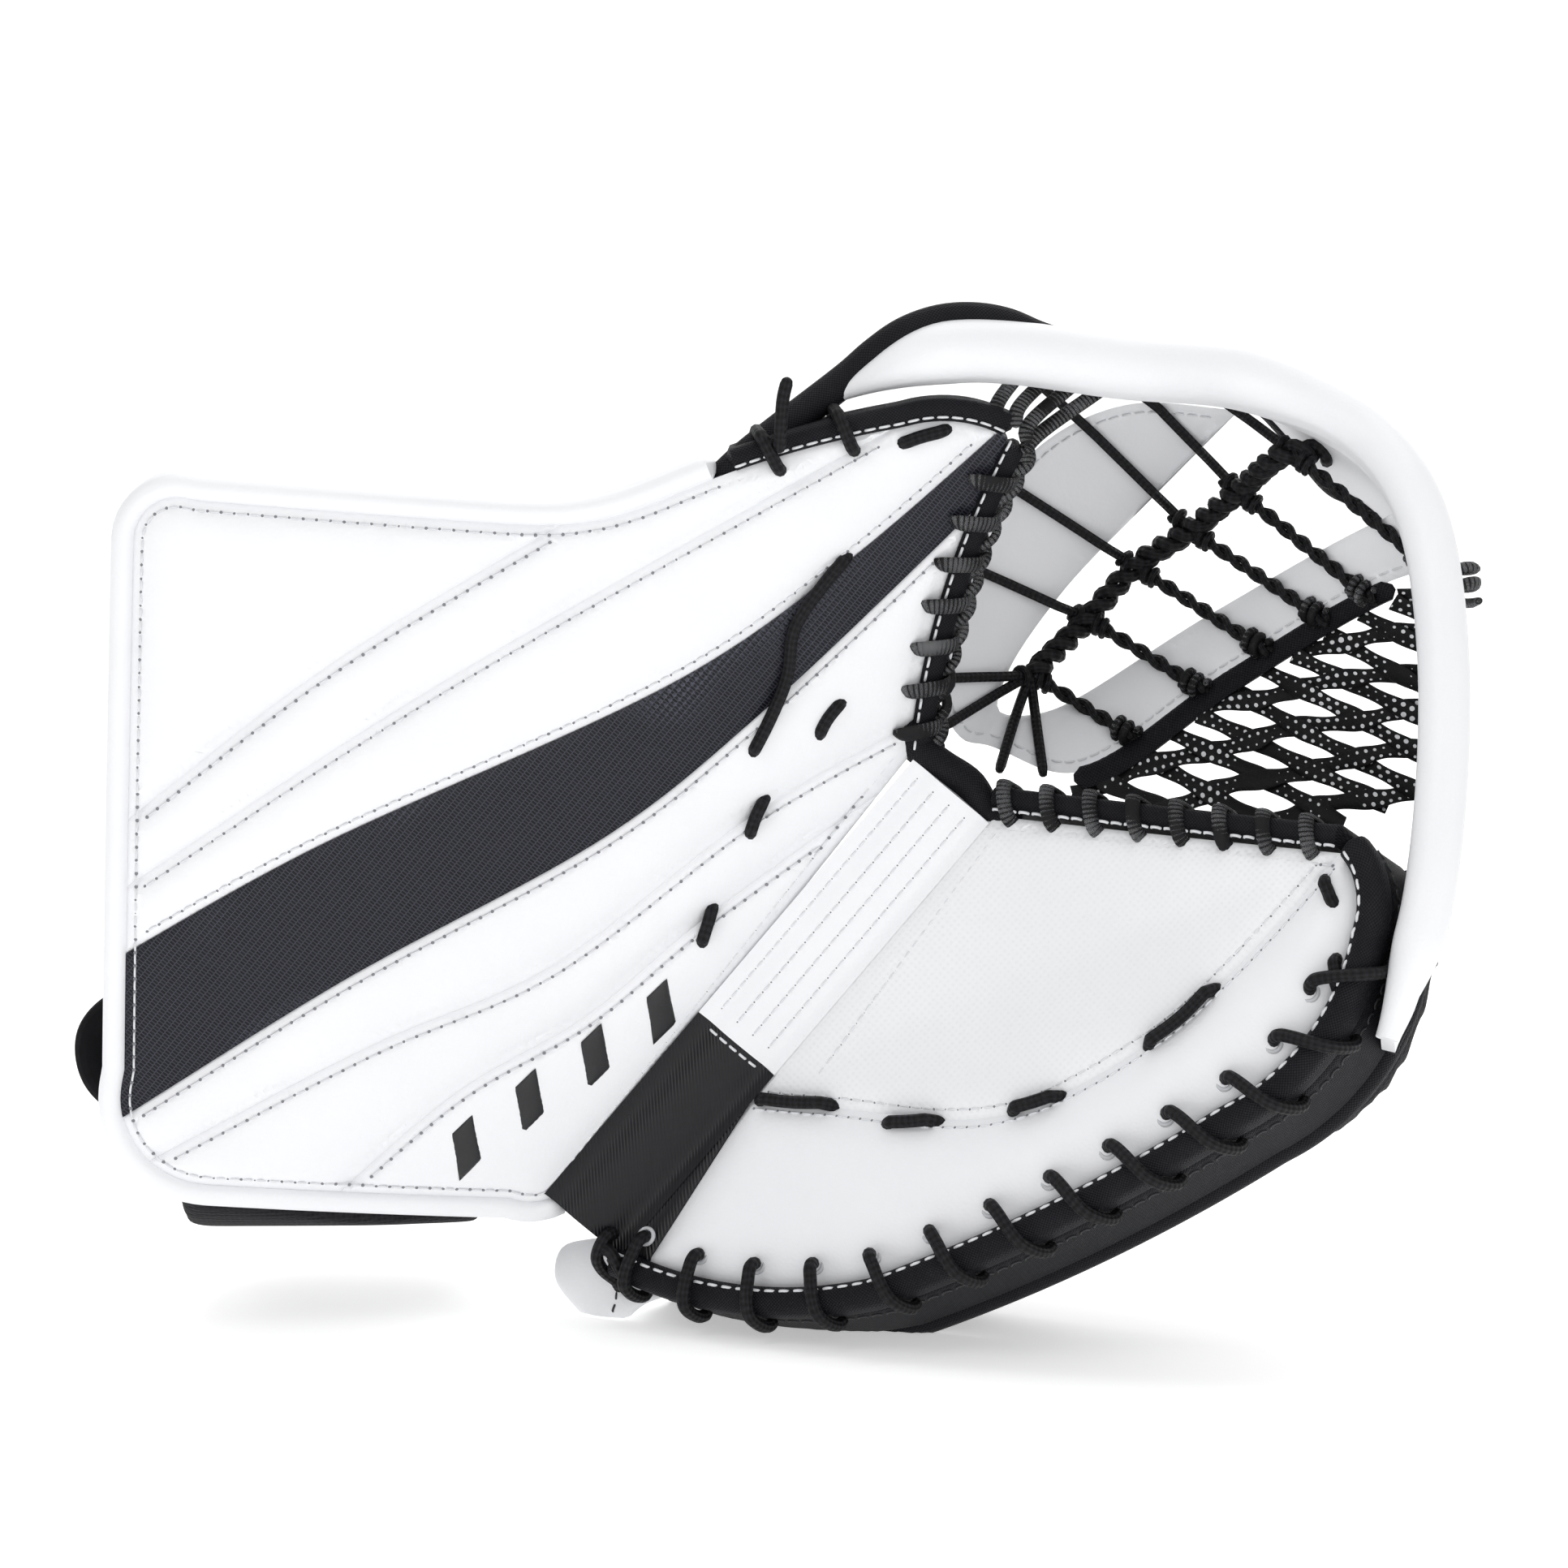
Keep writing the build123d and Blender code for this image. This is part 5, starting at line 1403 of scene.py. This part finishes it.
def stuffed(name, node, voxel=0.005, cap=0.005, frames=20):
    """A sewn pad: the CAD solid remeshed, then blown up a little as cloth over its stuffing."""
    piece = copied(name, node)
    remesh = piece.modifiers.new("even", "REMESH")
    remesh.mode = "VOXEL"
    remesh.voxel_size = voxel
    smooth = piece.modifiers.new("soft", "SMOOTH")
    smooth.iterations = 4
    apply_modifiers(piece)
    count = len(piece.data.vertices)
    before = np.empty(count * 3)
    piece.data.vertices.foreach_get("co", before)
    before = before.reshape(-1, 3)
    cloth = piece.modifiers.new("cloth", "CLOTH")
    cloth.settings.use_pressure = True
    cloth.settings.uniform_pressure_force = 4
    cloth.settings.effector_weights.gravity = 0
    scene = bpy.context.scene
    for moment in range(1, frames + 1):
        scene.frame_set(moment)
    apply_modifiers(piece)
    scene.frame_set(1)
    after = np.empty(count * 3)
    piece.data.vertices.foreach_get("co", after)
    move = after.reshape(-1, 3) - before
    far = np.linalg.norm(move, axis=1)[:, None]
    move *= np.minimum(1, cap / np.maximum(far, 1e-9))
    placed = before + move
    placed[:, 2] = np.maximum(placed[:, 2], 0.0004)
    piece.data.vertices.foreach_set("co", placed.ravel())
    finer = piece.modifiers.new("finer", "SUBSURF")
    finer.levels = finer.render_levels = 1
    apply_modifiers(piece)
    piece.data.polygons.foreach_set("use_smooth", np.ones(len(piece.data.polygons), bool))
    piece.data.update()
    return piece


def softened(name, node, width):
    """A thin sewn piece with its edges rounded."""
    piece = copied(name, node)
    bevel = piece.modifiers.new("edges", "BEVEL")
    bevel.width = width
    bevel.segments = 2
    bevel.limit_method = "ANGLE"
    apply_modifiers(piece)
    piece.data.polygons.foreach_set("use_smooth", np.ones(len(piece.data.polygons), bool))
    piece.data.set_sharp_from_angle(angle=math.radians(45))
    return piece


def fold_coordinates(points):
    """(along, out, up) of points in space, by the finger board."""
    off = (points - BREAK) / MM
    return off @ ALONG, off @ OUT, off @ FINGER_UP


pad = stuffed("backhand_padding", "backhand_pad")
place = np.empty(len(pad.data.vertices) * 3)
pad.data.vertices.foreach_get("co", place)
place = place.reshape(-1, 3)
u, s, h = fold_coordinates(place)
channels = np.min([np.abs(s - 30), np.abs(s - 62), np.abs(s - 94), np.abs(s - 126)], axis=0)
place += np.outer(2.2 * MM * np.exp(-((channels / 2.2) ** 2)) * (h < -66), FINGER_UP)
pad.data.vertices.foreach_set("co", place.ravel())
fit(pad, PADDING, "padded_fabric", FINGER, "backhand_pad", fill=0.7)
wrap = stuffed("wrist_padding", "wrist_wrap", 0.004, 0.004)
fit(wrap, PADDING, "padded_fabric", THUMB, "wrist_wrap", fill=0.7)
sleeve = stuffed("thumb_stall", "thumb_sleeve", 0.003, 0.003)
fit(sleeve, TRICOT, "padded_fabric", THUMB, "thumb_sleeve", fill=0.4)
# name: CAD node, finish, slot, body, width of the rounded edge, fill
SEWN_PIECES = {
    "finger_stall_walls": ("stall_walls", TRICOT, "lining", FINGER, 0.0008, 0.2),
    "finger_stall_sheet": ("stall_sheet", TRICOT, "lining", FINGER, 0.0006, 0.2),
    "wrist_strap_anchor": ("strap_anchor", WEBBING, "webbing", THUMB, 0.0008, None),
    "wrist_strap_keeper": ("strap_keeper", WEBBING, "webbing", THUMB, 0.0008, None),
    "wrist_webbing": ("wrist_strap", WEBBING, "webbing", "wrist_strap", 0.0008, None),
    "wrist_pull_tab": ("wrist_strap_tab", BLACK, "black_leather", "wrist_strap", 0.0008, None),
    "back_webbing_anchor": ("back_strap_anchor", WEBBING, "webbing", FINGER, 0.0008, None),
    "back_webbing": ("back_strap", WEBBING, "webbing", "back_strap", 0.0008, None),
    "back_pull_tab": ("back_strap_tab", BLACK, "black_leather", "back_strap", 0.0008, None),
}
for name, (node, finish, slot, body, width, fill) in SEWN_PIECES.items():
    fit(softened(name, node, width), finish, slot, body, node, fill=fill)

for node in ("thumb_board", "finger_board"):
    mesh = frame["nodes"][node].data
    mesh.materials.clear()
    mesh.materials.append(BOARD)

# ---- Camera, light and floor ----------------------------------------------------------------------
TARGET = Vector((-0.009, -0.024, 0.178))
ELEVATION = math.radians(8)
CAMERA_DISTANCE = 2.0
VIEW_WIDTH = 0.490728  # width seen at the target
camera_data = bpy.data.cameras.new("camera")
camera_data.sensor_width = 36
camera_data.lens = camera_data.sensor_width * CAMERA_DISTANCE / VIEW_WIDTH
camera = bpy.data.objects.new("camera", camera_data)
bpy.context.scene.collection.objects.link(camera)
camera.location = TARGET + CAMERA_DISTANCE * Vector((0, -math.cos(ELEVATION), math.sin(ELEVATION)))
camera.rotation_euler = (math.radians(90) - ELEVATION, 0, 0)
bpy.context.scene.camera = camera


def soft_light(name, place, size, power):
    data = bpy.data.lights.new(name, "AREA")
    data.shape = "SQUARE"
    data.size = size
    data.energy = power
    light = bpy.data.objects.new(name, data)
    bpy.context.scene.collection.objects.link(light)
    light.location = place
    light.rotation_euler = (TARGET - Vector(place)).to_track_quat("-Z", "Y").to_euler()


soft_light("key", (-1.3, -1.5, 1.9), 1.0, 8)
soft_light("front", (0.3, -2.4, 0.5), 1.2, 9)
soft_light("fill", (1.7, -1.5, 0.7), 1.6, 5)
soft_light("above", (0.1, 0.5, 2.2), 1.6, 16)
soft_light("behind", (0.6, 2.0, 1.2), 1.6, 9)

world = bpy.data.worlds.new("studio")
world.use_nodes = True
world.node_tree.nodes["Background"].inputs[0].default_value = (1.0, 1.0, 1.0, 1)
world.node_tree.nodes["Background"].inputs[1].default_value = 0.52
bpy.context.scene.world = world
bpy.context.scene.view_settings.view_transform = "Standard"

bpy.ops.object.select_all(action="DESELECT")
sweep_turn = np.radians(np.linspace(-90, 0, 25))
sweep_bend = np.column_stack([2.2 + 1.6 * np.cos(sweep_turn), 1.6 + 1.6 * np.sin(sweep_turn)])
sweep_profile = np.vstack([[(-6.0, 0.0)], sweep_bend, [(3.8, 6.0)]])
sweep_rows = [np.column_stack([np.full(len(sweep_profile), x), sweep_profile]) for x in np.linspace(-7, 7, 3)]
sweep_rows = np.array(sweep_rows) - (0, 0, 0.0006)
sweep_run = np.arange(len(sweep_profile) + 1.0)
floor = loft("studio_floor", sweep_rows, np.arange(3.0), sweep_run, closed=False, capped=False)
paper = Finish("floor_paper", 0.85, Emission_Color=(1, 1, 1, 1), Emission_Strength=0.42)
tone = paper.node("ShaderNodeTexNoise", paper.place(), Scale=3.0)
paper.colour(tone.outputs[0], (0.90, 0.90, 0.90), (0.93, 0.93, 0.93))
floor.data.materials.append(paper.material)
bpy.ops.object.select_all(action="DESELECT")
